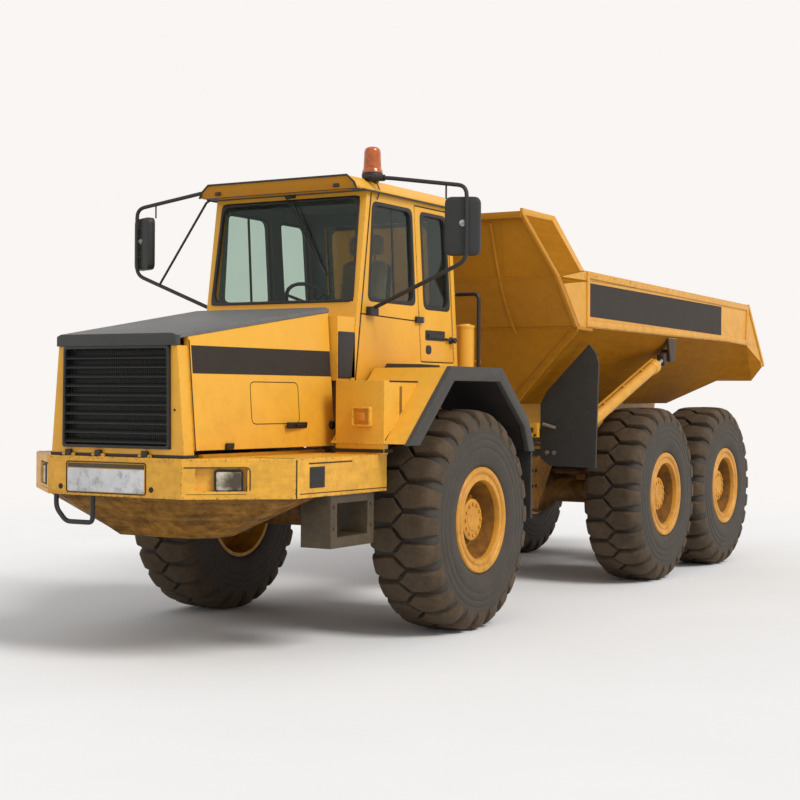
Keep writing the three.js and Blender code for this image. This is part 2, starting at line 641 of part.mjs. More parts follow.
// ---------------------------------------------------------------- cab
const frontY = (z) => -600 - (CAB_TOP - z) * WINDSHIELD_LEAN;
const rearY = (z) => 750 + (CAB_TOP - z) * REAR_LEAN;
const SILL_REAR = FENDER_TOP + 22;
const DOOR_LOW = SILL_REAR + 45;
const seamY = (z) => 129 + (DOOR_TOP - z) * 0.105;
const hingeY = (z) => rearY(z) - 45;

add('cab_floor', join(
  box([-CAB_HALF + CAB_WALL + SEAT, CAB_HALF - CAB_WALL - SEAT],
    [frontY(CAB_FLOOR) + CAB_WALL + SEAT, rearY(CAB_FLOOR) - CAB_WALL - SEAT],
    [CAB_FLOOR - FLOOR_PLATE, CAB_FLOOR]),
  box([-170, 170], [20, 360], [CAB_FLOOR - 10, CAB_FLOOR + 300])), CHARCOAL, 0.9);

// Side wall: fixed front part with its window, and the rear doorway.

function frontWindow(grow) {
  return [[-574 - grow, WINDOW_LOW - grow], [150 + grow, WINDOW_LOW - grow], [84 + grow, WINDOW_TOP + grow],
    [-516 - grow, WINDOW_TOP + grow]];
}

function rearWindow(grow) {
  return [[300 - grow, WINDOW_LOW - 20 - grow], [735 + grow, WINDOW_LOW - 20 - grow],
    [655 + grow, WINDOW_TOP - 5 + grow], [220 - grow, WINDOW_TOP - 5 + grow]];
}

const wallOutline = [
  [frontY(SILL_FRONT) + CAB_WALL + SEAT, SILL_FRONT], [-430, SILL_FRONT], [-300, SILL_REAR],
  [rearY(SILL_REAR) - CAB_WALL - SEAT, SILL_REAR], [rearY(CAB_TOP) - CAB_WALL - SEAT, CAB_TOP - SEAT],
  [frontY(CAB_TOP) + CAB_WALL + SEAT, CAB_TOP - SEAT],
];

function doorOutline(gap) {
  return [[seamY(DOOR_LOW) - gap, DOOR_LOW - gap], [hingeY(DOOR_LOW) - 30 + gap, DOOR_LOW - gap],
    [hingeY(DOOR_TOP) - 30 + gap, DOOR_TOP + gap], [seamY(DOOR_TOP) - gap, DOOR_TOP + gap]];
}

const [WALL_IN, WALL_OUT] = [CAB_HALF - CAB_WALL, CAB_HALF];
const leftWall = cut(
  sideways(wallOutline, WALL_IN, WALL_OUT),
  sideways(frontWindow(0), WALL_IN - 1, WALL_OUT + 1),
  sideways(doorOutline(RUN), WALL_IN - 1, WALL_OUT + 1));

// The door turns on a line along its leaning rear edge, in the middle of the gap behind it.
const doorPost = new THREE.Vector3(0, -REAR_LEAN, 1).normalize();
const cabHinges = [280, 760, 1240].map((above) => CAB_FLOOR + above).map((z) => hinge(
  [WALL_OUT + RUN / 2, hingeY(z) - 30 + RUN / 2, z], doorPost));
add('cab_left', withHinges(leftWall, cabHinges, 'fixed'), YELLOW);
const rightWall = cut(
  sideways(wallOutline, WALL_IN, WALL_OUT),
  sideways(frontWindow(0), WALL_IN - 1, WALL_OUT + 1),
  sideways(rearWindow(0), WALL_IN - 1, WALL_OUT + 1));
add('cab_right', mirrored(rightWall), YELLOW);

// Panes sit in their window holes, 6 mm thick, half way through the wall.
const PANE_IN = WALL_OUT - 26;
const pane = (points) => sideways(points, PANE_IN, PANE_IN + GLASS);
add('window_left', pane(frontWindow(-SEAT)), GLASS_TINT, 0.1);
add('window_right_front', mirrored(pane(frontWindow(-SEAT))), GLASS_TINT, 0.1);
add('window_right_rear', mirrored(pane(rearWindow(-SEAT))), GLASS_TINT, 0.1);

const doorPanel = cut(sideways(doorOutline(0), WALL_IN, WALL_OUT),
  sideways(rearWindow(0), WALL_IN - 1, WALL_OUT + 1));
add('cab_door', withHinges(doorPanel, cabHinges, 'moving'), YELLOW);
add('window_door', pane(rearWindow(-SEAT)), GLASS_TINT, 0.1);

// Front and rear walls lean with the side walls' edges and cover their ends.
function leaningWall(edge, x0, x1, z0, z1, from, to) {
  const ring = (z) => [[x0, edge(z) + from, z], [x1, edge(z) + from, z], [x1, edge(z) + to, z],
    [x0, edge(z) + to, z]];
  return loft([ring(z0), ring(z1)]);
}

function shieldHole(grow, from, to) {
  const ring = (z, half) => [[-half, frontY(z) + from, z], [half, frontY(z) + from, z],
    [half, frontY(z) + to, z], [-half, frontY(z) + to, z]];
  return loft([ring(SHIELD_LOW - grow, 672 + grow), ring(SHIELD_TOP + grow, 652 + grow)]);
}

const COWL_FRONT_Y = HOOD_REAR_Y + RUN;
const frontWall = cut(leaningWall(frontY, -CAB_HALF, CAB_HALF, SILL_FRONT, CAB_TOP - SEAT, 0, CAB_WALL),
  shieldHole(0, -5, CAB_WALL + 5));
const cowl = cut(
  box([-CAB_HALF + 10, CAB_HALF - 10], [COWL_FRONT_Y, frontY(COWL_TOP) + 10], [SILL_FRONT, COWL_TOP]),
  leaningWall(frontY, -CAB_HALF, CAB_HALF, SILL_FRONT - 2, COWL_TOP + 2, CAB_WALL / 2, 400));
const hoodLedge = box([-560, 560], [HOOD_REAR_Y - 60, COWL_FRONT_Y + 20],
  [COWL_TOP - 30, hoodTopZ(HOOD_REAR_Y - 60) - PANEL - SEAT]);
add('cab_front', join(frontWall, cowl, hoodLedge), YELLOW);
add('windshield', shieldHole(-SEAT, 20, 20 + GLASS), GLASS_TINT, 0.1);

const backWindow = (gap, from, to) => leaningWall(rearY, gap - BACK_WINDOW.half, BACK_WINDOW.half - gap,
  BACK_WINDOW.low + gap, BACK_WINDOW.top - gap, from, to);
add('cab_rear', cut(leaningWall(rearY, -CAB_HALF, CAB_HALF, SILL_REAR, CAB_TOP - SEAT, -CAB_WALL, 0),
  box([-BACK_WINDOW.half, BACK_WINDOW.half], [500, 1100], [BACK_WINDOW.low, BACK_WINDOW.top])), YELLOW);
add('window_rear', backWindow(SEAT, -40, -40 + GLASS), GLASS_TINT, 0.1);

function roofDome(grow) {
  const ring = (z, half, y0, y1) => [[-half - grow, y0 - grow, z], [half + grow, y0 - grow, z],
    [half + grow, y1 + grow, z], [-half - grow, y1 + grow, z]];
  return loft([
    ring(CAB_TOP - grow, CAB_HALF + 25, VISOR_Y + 15, rearY(CAB_TOP) + 25),
    ring(CAB_TOP + 40, CAB_HALF + 5, VISOR_Y, rearY(CAB_TOP) + 20),
    ring(ROOF_TOP + grow, CAB_HALF - 60, VISOR_Y, rearY(CAB_TOP) - 20)]);
}

function roof() {
  const eyebrow = box([-CAB_HALF + 90, CAB_HALF - 90], [VISOR_Y + 60, frontY(CAB_TOP) - 60],
    [CAB_TOP - 1, CAB_TOP + 25]);
  return cut(roofDome(0), eyebrow);
}
add('cab_roof', roof(), YELLOW);

// Seat, console and steering wheel inside.
const CUSHION_Z = CAB_FLOOR + 300;
add('seat', sideways([[SEAT_Y - 290, CUSHION_Z + SEAT], [SEAT_Y + 330, CUSHION_Z + SEAT],
  [SEAT_Y + 430, CUSHION_Z + SEAT_BACK], [SEAT_Y + 335, CUSHION_Z + SEAT_BACK],
  [SEAT_Y + 215, CUSHION_Z + 130], [SEAT_Y - 290, CUSHION_Z + 130]], -SEAT_HALF, SEAT_HALF), TAN, 0.9);
function dashboard() {
  const [wheelY, wheelZ] = STEERING_WHEEL;
  const [deskLow, deskTop] = [CAB_FLOOR + 220, CAB_FLOOR + 490];
  const desk = sideways([[frontY(CAB_FLOOR + 420) + CAB_WALL + 10, deskLow], [-520, deskLow],
    [-480, deskTop - 50], [-560, deskTop], [frontY(deskTop) + CAB_WALL + 10, deskTop]], -560, 560);
  const foot = box([-120, 120], [-600, -500], [CAB_FLOOR + SEAT, deskLow + 60]);
  const column = bar([0, wheelY - 240, wheelZ - 230], [0, wheelY, wheelZ], 30, 12);
  const lean = Math.atan2(230, 240) - Math.PI / 2;
  const place = (geometry) => geometry.rotateX(lean).translate(0, wheelY, wheelZ);
  const spokes = [0, 1, 2].map((k) => {
    const turn = (k / 3) * 2 * Math.PI + Math.PI / 2;
    const reach = WHEEL_RADIUS - 3;
    return place(bar([0, 0, 0], [reach * Math.cos(turn), reach * Math.sin(turn), 0], 12, 8));
  });
  return join(desk, foot, column, place(new THREE.TorusGeometry(WHEEL_RADIUS, 16, 6, 22)), ...spokes);
}
add('dashboard', dashboard(), BLACK, 0.7);

// ---------------------------------------------------------------- mirrors, beacon and rails
function mirror() {
  const footZ = CAB_FLOOR + 460;
  const roofFoot = [CAB_HALF - 30, MIRROR_Y + 60, ROOF_TOP - 30];
  const arm = bentBar([roofFoot, [MIRROR_X, MIRROR_Y, ROOF_TOP - 70], [MIRROR_X, MIRROR_Y, CAB_FLOOR + 850],
    [CAB_HALF + 25, MIRROR_Y + 40, footZ + 40]], 16, 70);
  const head = new THREE.BoxGeometry(270, 70, 440);
  head.rotateZ(MIRROR_TILT);
  head.translate(MIRROR_X - 50, MIRROR_Y + 35, CAB_FLOOR + 1110);
  const foot = box([CAB_HALF + SEAT, CAB_HALF + 50], [MIRROR_Y - 30, MIRROR_Y + 90], [footZ, footZ + 70]);
  const bracket = box([CAB_HALF - 55, CAB_HALF - 15], [MIRROR_Y + 20, MIRROR_Y + 100],
    [ROOF_TOP - 60, ROOF_TOP + 20]);
  return cut(join(arm, head, foot, bracket), roofDome(SEAT));
}
for (const [side, sign] of SIDES) add(`mirror_${side}`, onSide(mirror(), sign), BLACK, 0.5);

add('beacon', join(
  bar([...BEACON, ROOF_TOP + SEAT], [...BEACON, ROOF_TOP + 70], 82, 14),
  bar([...BEACON, ROOF_TOP + 60], [...BEACON, ROOF_TOP + 240], 68, 12),
  new THREE.SphereGeometry(68, 12, 6).translate(BEACON[0], BEACON[1], ROOF_TOP + 236)), AMBER, 0.3);

// ---------------------------------------------------------------- fenders with their boxes
const FENDER_FOOT = FENDER_TOP - 655;      // lower end of a fender behind the wheel
const [FLAT_FRONT_Y, FLAT_REAR_Y] = [FENDER_FRONT_Y + 616, FENDER_REAR_Y - 594];
const fenderEdge = [[FENDER_FRONT_Y, FENDER_TOP - 564], [FLAT_FRONT_Y, FENDER_TOP], [FLAT_REAR_Y, FENDER_TOP],
  [FENDER_REAR_Y - 98, FENDER_TOP - 424], [FENDER_REAR_Y, FENDER_FOOT]];
const fenderInside = [[FENDER_REAR_Y - FENDER_PLATE, FENDER_FOOT], [FENDER_REAR_Y - 173, FENDER_TOP - 460],
  [FLAT_REAR_Y - 32, FENDER_TOP - FENDER_PLATE], [FLAT_FRONT_Y + 35, FENDER_TOP - FENDER_PLATE],
  [FENDER_FRONT_Y + 131, FENDER_TOP - 564]];
const BOX_FRONT_Y = FENDER_FRONT_Y + 7;

function fender() {
  const inner = FENDER_INNER;
  const band = sideways([...fenderEdge, ...fenderInside], inner, OUTER_HALF_WIDTH);
  const slope = (fenderEdge[1][1] - fenderEdge[0][1]) / (fenderEdge[1][0] - fenderEdge[0][0]);
  const meet = fenderEdge[1][0] - (FENDER_TOP - BOX_TOP) / slope;
  const locker = sideways([[BOX_FRONT_Y, BUMPER_TOP + SEAT], [BOX_FRONT_Y, BOX_TOP], [meet + 40, BOX_TOP],
    [BOX_FRONT_Y + 60, fenderEdge[0][1]], [BOX_FRONT_Y + 60, BUMPER_TOP + SEAT]], inner + 40, BOX_OUTER);
  const hangerFront = Math.min(REAR_BAR[0] - 65, FENDER_REAR_Y - 31);
  const hanger = box([inner - 60, inner + 60], [hangerFront, REAR_BAR[1] - 15],
    [REAR_BAR_TOP + SEAT, FENDER_FOOT + 175]);
  const flapY = FENDER_REAR_Y + 9;
  const flapOuter = OUTER_HALF_WIDTH - 30;
  const flap = box([inner + 130, flapOuter], [flapY, flapY + 30], [FENDER_FOOT - 565, FENDER_FOOT + 35]);
  const flapHolder = box([inner + 60, flapOuter], [flapY - 40, flapY + 15], [FENDER_FOOT, FENDER_FOOT + 45]);
  return join(band, locker, hanger, flap, flapHolder);
}
for (const [side, sign] of SIDES) add(`fender_${side}`, onSide(fender(), sign), YELLOW);

// ---------------------------------------------------------------- hitch and rear frame

function alongY(radius, y0, y1, z, sides = 24) {
  return bar([0, y0, z], [0, y1, z], radius, sides);
}

function hitch() {
  const [low, high] = [BEARING_Z[0] + EAR + SEAT, BEARING_Z[1] - RUN];
  const barrel = bar([0, PIVOT_Y, low], [0, PIVOT_Y, high], 130, 24);
  const yoke = box([-130, 130], [PIVOT_Y, SLEEVE_Y], [low + 20, high - 20]);
  const bore = bar([0, PIVOT_Y, low - 1], [0, PIVOT_Y, high + 1], PIN_RADIUS + 6, 24);
  const flange = alongY(RING_RADIUS, SLEEVE_Y - 60, SLEEVE_Y, HITCH_Z);
  const spigot = alongY(SPIGOT_RADIUS, SLEEVE_Y - 1, SLEEVE_Y + SPIGOT_LENGTH, HITCH_Z);
  return cut(join(barrel, yoke, flange, spigot), bore);
}
add('hitch', hitch(), YELLOW);

const SHAFT_Y = WHEELBASE + BOGIE_SPACING / 2;
const SHAFT_Z = AXLE_Z + HOUSING_RADIUS + 60;
const BEAM_LOW = AXLE_Z + HOUSING_RADIUS + SEAT;

// Equalising beam beside a rail, resting on both rear axles.
function bogieBeam() {
  const ends = [WHEELBASE - 140, WHEELBASE + BOGIE_SPACING + 140];
  return sideways([[ends[0], BEAM_LOW], [ends[1], BEAM_LOW], [ends[1], BEAM_LOW + 60],
    [SHAFT_Y + 90, BEAM_LOW + 150], [SHAFT_Y - 90, BEAM_LOW + 150], [ends[0], BEAM_LOW + 60]], 500, 600);
}

const NECK_Y = SLEEVE_Y + SPIGOT_LENGTH + 20;   // front end of the rear rails
const NECK_LOW = REAR_RAIL_BOTTOM - 350;

function hoistBracket() {
  const [y, z] = HOIST_FOOT;
  const outer = HOIST_X - HOIST_RADIUS - 12;
  return [
    box([REAR_RAIL_OUTER - 50, outer], [y - 70, y + 70], [z - 130, z - 20]),
    box([outer - 60, outer], [y - 70, y + 70], [z - 130, z + 60]),
    bar([outer - 50, y, z], [HOIST_X + 30, y, z], HOIST_PIN, 16),
  ];
}

function rearFrame() {
  const railSide = [
    [NECK_Y, NECK_LOW], [NECK_Y + 1190, NECK_LOW - 80], [NECK_Y + 1540, REAR_RAIL_BOTTOM],
    [TIP_Y - 60, REAR_RAIL_BOTTOM], [TIP_Y + 70, REAR_RAIL_BOTTOM + 160], [TIP_Y + 70, REAR_RAIL_TOP],
    [NECK_Y, REAR_RAIL_TOP],
  ];
  const rail = [REAR_RAIL_OUTER - 100, REAR_RAIL_OUTER];
  const halves = [
    sideways(railSide, ...rail),
    box(rail, [SHAFT_Y - 130, SHAFT_Y + 130], [SHAFT_Z - 120, REAR_RAIL_BOTTOM + 10]),
    bogieBeam(),
    ...hoistBracket(),
    box([125, 215], [TIP_Y - 60, TIP_Y + 60], [REAR_RAIL_TOP - 80, TIP_Z]),
  ];
  const parts = SIDES.flatMap(([, sign]) => halves.map((half) => onSide(half, sign)));
  for (const [y, z] of [
    [[NECK_Y, NECK_Y + 100], [NECK_LOW, REAR_RAIL_TOP]],
    [[NECK_Y + 1040, NECK_Y + 1160], [NECK_LOW - 40, REAR_RAIL_TOP - 60]],
    [[SHAFT_Y - 60, SHAFT_Y + 60], [REAR_RAIL_BOTTOM + 20, REAR_RAIL_TOP - 40]],
    [[TIP_Y - 40, TIP_Y + 70], [REAR_RAIL_BOTTOM + 170, REAR_RAIL_TOP - 60]],
  ]) {
    parts.push(box([-REAR_RAIL_OUTER, REAR_RAIL_OUTER], y, z));
  }
  parts.push(alongY(RING_RADIUS, SLEEVE_Y + SEAT, NECK_Y + 10, HITCH_Z));
  parts.push(bar([-280, TIP_Y, TIP_Z], [280, TIP_Y, TIP_Z], 72, 20));
  parts.push(bar([-590, SHAFT_Y, SHAFT_Z], [590, SHAFT_Y, SHAFT_Z], SHAFT_RADIUS, 16));
  return cut(join(...parts), alongY(SPIGOT_RADIUS + 4, SLEEVE_Y, SLEEVE_Y + SPIGOT_LENGTH + 6, HITCH_Z),
    bar([-300, TIP_Y, TIP_Z], [300, TIP_Y, TIP_Z], TIP_PIN + 7, 20));
}
add('rear_frame', rearFrame(), YELLOW);

// Rubber flaps that keep stones off the hoists, each on a stub from the frame.
const flapOutline = [[830, 260], [830, -235], [925, -310], [1380, -320], [1405, 628], [1378, 725],
  [1312, 805], [892, 375]].map(([x, above]) => [x, REAR_RAIL_TOP + above]);
for (const [side, sign] of SIDES) {
  const sheet = across(flapOutline, FLAP_Y, FLAP_Y + 26);
  const stub = box([REAR_RAIL_OUTER + SEAT, 1000], [FLAP_Y + 20, FLAP_Y + 56],
    [REAR_RAIL_TOP - 220, REAR_RAIL_TOP - 160]);
  add(`stone_flap_${side}`, onSide(join(sheet, stub), sign), BLACK, 0.85);
}

// ---------------------------------------------------------------- tipping body
const BOARD_FRONT_TOP = BODY_TOP - 90;   // top of the side boards at the headboard
const headFace = [                // height, half width and front face of the headboard
  [BODY_BOTTOM, FLOOR_HALF + 10, HEAD_Y], [BODY_CHINE, BODY_HALF, HEAD_Y - 150],
  [BOARD_FRONT_TOP, BODY_HALF, HEAD_Y - 580], [GUARD_TOP, GUARD_HALF, HEAD_Y - 700],
];

function headY(z) {
  for (let k = 0; k + 1 < headFace.length; k += 1) {
    const [z0, , y0] = headFace[k];
    const [z1, , y1] = headFace[k + 1];
    if (z <= z1) return mix(y0, y1, (z - z0) / (z1 - z0));
  }
  return headFace[headFace.length - 1][2];
}
const behindHead = (z) => headY(z) + HEADBOARD + SEAT;

add('headboard', loft(headFace.map(([z, half, y]) => [[-half, y, z], [half, y, z], [half, y + HEADBOARD, z],
  [-half, y + HEADBOARD, z]])), YELLOW);

// Hull of the body: a trough whose floor rises and widens to the tail.
const SLANT = BODY_WALL * Math.SQRT2;
function hullRing(chine, low, place) {
  const points = [[BODY_HALF, chine], [low[0], low[1]], [-low[0], low[1]], [-BODY_HALF, chine],
    [SLANT - BODY_HALF, chine], [-low[0] + SLANT - BODY_WALL, low[1] + BODY_WALL],
    [low[0] - SLANT + BODY_WALL, low[1] + BODY_WALL], [BODY_HALF - SLANT, chine]];
  return points.map(([x, z]) => [x, place(z), z]);
}
const SILL_FRONT_Y = HOIST_FOOT[0] + 90;   // front end of the sills on which the body rests

function bodyFloor() {
  const hull = loft([
    hullRing(BODY_CHINE, [FLOOR_HALF, BODY_BOTTOM], behindHead),
    hullRing(BODY_CHINE, [FLOOR_HALF, BODY_BOTTOM], () => RISE_Y),
    hullRing(BODY_CHINE - 20, [BODY_HALF - 300, TAIL_LOW + 20], () => REAR_TOP_Y - 50),
    hullRing(TAIL_TOP, [BODY_HALF - 85, TAIL_LOW], (z) => TAIL_Y - (TAIL_TOP - z)),
  ]);
  const lugRadius = TIP_Z - REAR_RAIL_TOP - RUN;
  const lugs = SIDES.map(([, sign]) => onSide(join(
    sideways([[TIP_Y - lugRadius + 5, TIP_Z], [TIP_Y + lugRadius - 5, TIP_Z],
      [TIP_Y + 160, BODY_BOTTOM + 140], [TIP_Y - 200, BODY_BOTTOM + 20]], 290, 340),
    bar([290, TIP_Y, TIP_Z], [340, TIP_Y, TIP_Z], lugRadius, 16)), sign));
  const sills = SIDES.map(([, sign]) => onSide(box([REAR_RAIL_OUTER - 90, REAR_RAIL_OUTER - 10],
    [SILL_FRONT_Y, RISE_Y - 70], [REAR_RAIL_TOP + SEAT, BODY_BOTTOM + 5]), sign));
  const pin = bar([-320, TIP_Y, TIP_Z], [320, TIP_Y, TIP_Z], TIP_PIN, 20);
  const heads = SIDES.map(([, sign]) => onSide(join(
    sideways([[HOIST_HEAD[0] - 60, HOIST_HEAD[1] - 60], [HOIST_HEAD[0] + 60, HOIST_HEAD[1] - 60],
      [HOIST_HEAD[0] + 120, BODY_CHINE - 14], [HOIST_HEAD[0] - 120, BODY_CHINE - 14]],
    BODY_HALF - 28, BODY_HALF - 3),
    bar([HOIST_X + EYE_HALF + SEAT, ...HOIST_HEAD], [BODY_HALF - 2, ...HOIST_HEAD], 60, 16)), sign));
  return join(hull, ...lugs, ...sills, pin, ...heads);
}
add('body_floor', bodyFloor(), YELLOW);

function bodySide() {
  const board = sideways([
    [behindHead(BODY_CHINE), BODY_CHINE + SEAT], [RISE_Y, BODY_CHINE + SEAT],
    [REAR_TOP_Y - 50, BODY_CHINE - 20 + SEAT], [TAIL_Y, TAIL_TOP + SEAT], [REAR_TOP_Y, REAR_TOP],
    [HEAD_Y + 40, BODY_TOP], [behindHead(BOARD_FRONT_TOP), BOARD_FRONT_TOP],
  ], BODY_HALF - SIDE_WALL, BODY_HALF);
  const wingLow = BOARD_FRONT_TOP - 10;
  const lean = (z) => (z - BOARD_FRONT_TOP) / (GUARD_TOP - BOARD_FRONT_TOP) * (BODY_HALF - GUARD_HALF);
  const ring = (z, rear) => {
    const [inner, outer] = [BODY_HALF - lean(z) - SIDE_WALL, BODY_HALF - lean(z)];
    return [[inner, behindHead(z), z], [outer, behindHead(z), z], [outer, rear, z], [inner, rear, z]];
  };
  const wing = loft([ring(wingLow, HEAD_Y + 50), ring(GUARD_TOP, HEAD_Y - 50)]);
  const base = sideways([[behindHead(wingLow), wingLow], [HEAD_Y + 50, wingLow],
    [HEAD_Y + 100, BODY_TOP - 40], [HEAD_Y + 100, BODY_TOP - 370],
    [behindHead(BODY_TOP - 150), BODY_TOP - 150]], BODY_HALF - SIDE_WALL, BODY_HALF);
  return join(board, wing, base);
}
for (const [side, sign] of SIDES) add(`body_side_${side}`, onSide(bodySide(), sign), YELLOW);

// ---------------------------------------------------------------- tipping hoists

// Two-stage hoist: a barrel on the frame, a middle tube and a rod whose eye meets the body.
function hoist() {
  const foot = new THREE.Vector3(HOIST_X, ...HOIST_FOOT);
  const head = new THREE.Vector3(HOIST_X, ...HOIST_HEAD);
  const length = foot.distanceTo(head);
  const at = (distance) => new THREE.Vector3().lerpVectors(foot, head, distance / length).toArray();
  const crossBar = (centre, radius, half) => bar(
    [HOIST_X - half, centre.y, centre.z], [HOIST_X + half, centre.y, centre.z], radius, 16);
  const mouth = length - 330;
  const barrel = cut(
    join(crossBar(foot, 75, EYE_HALF), bar(at(60), at(mouth), HOIST_RADIUS, 16),
      bar(at(mouth - 90), at(mouth), HOIST_RADIUS + 14, 16)),
    bar(at(120), at(mouth + 1), STAGE_RADIUS + HOIST_FIT, 16),
    crossBar(foot, HOIST_PIN + 0.8, EYE_HALF + 20));
  const stage = cut(bar(at(150), at(mouth + 40), STAGE_RADIUS, 16),
    bar(at(149), at(mouth + 41), HOIST_ROD + HOIST_FIT, 16));
  const rod = join(bar(at(180), at(length - 50), HOIST_ROD, 16), crossBar(head, 66, EYE_HALF));
  return { barrel, stage, rod };
}
const hoistParts = hoist();
for (const [side, sign] of SIDES) {
  add(`hoist_barrel_${side}`, onSide(hoistParts.barrel, sign), YELLOW);
  add(`hoist_stage_${side}`, onSide(hoistParts.stage, sign), STEEL, 0.3, 0.8);
  add(`hoist_rod_${side}`, onSide(hoistParts.rod, sign), STEEL, 0.3, 0.8);
}

// ---------------------------------------------------------------- rails behind the cab
const RAIL_Y = DECK_Y[0] + 120;
const RAIL_TOP = CAB_FLOOR + 720;
const grabRail = bentBar([[600, rearY(RAIL_TOP) - 20, RAIL_TOP], [600, RAIL_Y, RAIL_TOP],
  [840, RAIL_Y, RAIL_TOP], [840, RAIL_Y, DECK_Z + SEAT]], 17, 50);
const cabBack = leaningWall(rearY, -CAB_HALF, CAB_HALF, SILL_REAR, CAB_TOP, -CAB_WALL, SEAT);
add('grab_rail', cut(grabRail, cabBack), BLACK, 0.5);

// The machine's group is moved so that the origin is below the middle of its length.
const LENGTH_BACK = (TAIL_Y + BUMPER_FRONT_Y) / 2;
machine.position.set(0, -LENGTH_BACK, 0);
const truck = new THREE.Group();
truck.add(machine);

export default truck;
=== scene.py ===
# %% [markdown]
# # A six-wheel articulated dump truck
# The truck is made of two units. The front one carries the engine, the cab and one axle, and
# the rear one carries a tipping body on two axles. A solid model of it already exists, with
# one closed mesh per part, and it fixes every size here. This lesson dresses that model:
# it rounds edges, adds the treads, slats, bolts, seals and lamps that are too fine for the
# solid model, and gives each surface the finish of the real material.

# %% Open the solid model
import json
import math

import bmesh
import bpy
from mathutils import Euler, Matrix, Vector
from mathutils.bvhtree import BVHTree
from mathutils.geometry import tessellate_polygon

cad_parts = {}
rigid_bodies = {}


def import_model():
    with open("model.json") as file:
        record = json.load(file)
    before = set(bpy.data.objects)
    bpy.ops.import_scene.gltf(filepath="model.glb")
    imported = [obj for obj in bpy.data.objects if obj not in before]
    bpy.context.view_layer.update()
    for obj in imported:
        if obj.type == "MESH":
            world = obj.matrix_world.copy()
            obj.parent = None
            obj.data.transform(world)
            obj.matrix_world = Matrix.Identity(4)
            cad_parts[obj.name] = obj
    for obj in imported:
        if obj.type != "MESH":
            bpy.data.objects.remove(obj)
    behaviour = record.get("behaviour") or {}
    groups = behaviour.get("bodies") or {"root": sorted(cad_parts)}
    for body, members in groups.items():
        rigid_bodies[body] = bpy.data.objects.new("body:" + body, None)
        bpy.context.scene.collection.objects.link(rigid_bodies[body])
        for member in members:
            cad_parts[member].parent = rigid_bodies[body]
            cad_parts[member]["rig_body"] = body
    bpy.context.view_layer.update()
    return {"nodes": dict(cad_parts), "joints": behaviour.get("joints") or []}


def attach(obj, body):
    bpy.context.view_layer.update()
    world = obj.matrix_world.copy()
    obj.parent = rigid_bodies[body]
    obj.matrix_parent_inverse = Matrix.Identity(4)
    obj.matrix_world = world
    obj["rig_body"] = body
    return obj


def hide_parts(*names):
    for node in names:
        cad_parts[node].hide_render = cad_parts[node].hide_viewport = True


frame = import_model()
solids = frame["nodes"]

# %% [markdown]
# ## Colours and shader nodes
# Paint charts and screens give colours as sRGB hex numbers, but a renderer adds light up
# in linear values, so every colour passes through one function. A second function adds any
# shader or geometry node: its settings are attributes, and its inputs are either values or
# the sockets that feed them.

# %% Two small helpers for nodes
def linear(hex_colour):
    """An sRGB hex colour such as "#e3a72f" as a linear RGBA value."""
    channels = [int(hex_colour[k:k + 2], 16) / 255 for k in (1, 3, 5)]
    return [c / 12.92 if c <= 0.04045 else ((c + 0.055) / 1.055) ** 2.4 for c in channels] + [1.0]


def add_node(tree, kind, inputs=None, **settings):
    """Adds a node, applies its settings, and fills or links its inputs."""
    made = tree.nodes.new(kind)
    for key, value in settings.items():
        setattr(made, key, value)
    for key, value in (inputs or {}).items():
        if isinstance(value, bpy.types.NodeSocket):
            tree.links.new(value, made.inputs[key])
        else:
            made.inputs[key].default_value = value
    return made


def ramp(tree, factor, stops):
    """A colour ramp over a factor; each stop is a position and a linear RGBA colour."""
    made = add_node(tree, "ShaderNodeValToRGB", {"Fac": factor})
    elements = made.color_ramp.elements
    while len(elements) < len(stops):
        elements.new(0.5)
    for element, (position, colour) in zip(elements, stops):
        element.position = position
        element.color = colour
    return made.outputs["Color"]


def new_material(name):
    """An empty node material with its output, and the tree to build in."""
    material = bpy.data.materials.new(name)
    material.use_nodes = True
    material.node_tree.nodes.clear()
    return material, material.node_tree


print("orange-yellow enamel in linear light:", [round(c, 3) for c in linear("#e3a72f")])

# %% [markdown]
# ## Machine enamel
# Earthmoving machines are sprayed with a two-pack enamel over primed steel. It has a soft
# gloss, it picks up a film of dust that is thickest low down, and it chips to dark
# rust where parts are knocked. The dust and the chips come from noise read at Object
# coordinates, which here are the truck's own metres, so a pattern runs on from one panel to
# the next. The chips also read a face attribute called "edge", which marks bevelled edges.

# %% A worn enamel
GREY_ONE = (1.0, 1.0, 1.0, 1.0)
GREY_ZERO = (0.0, 0.0, 0.0, 1.0)


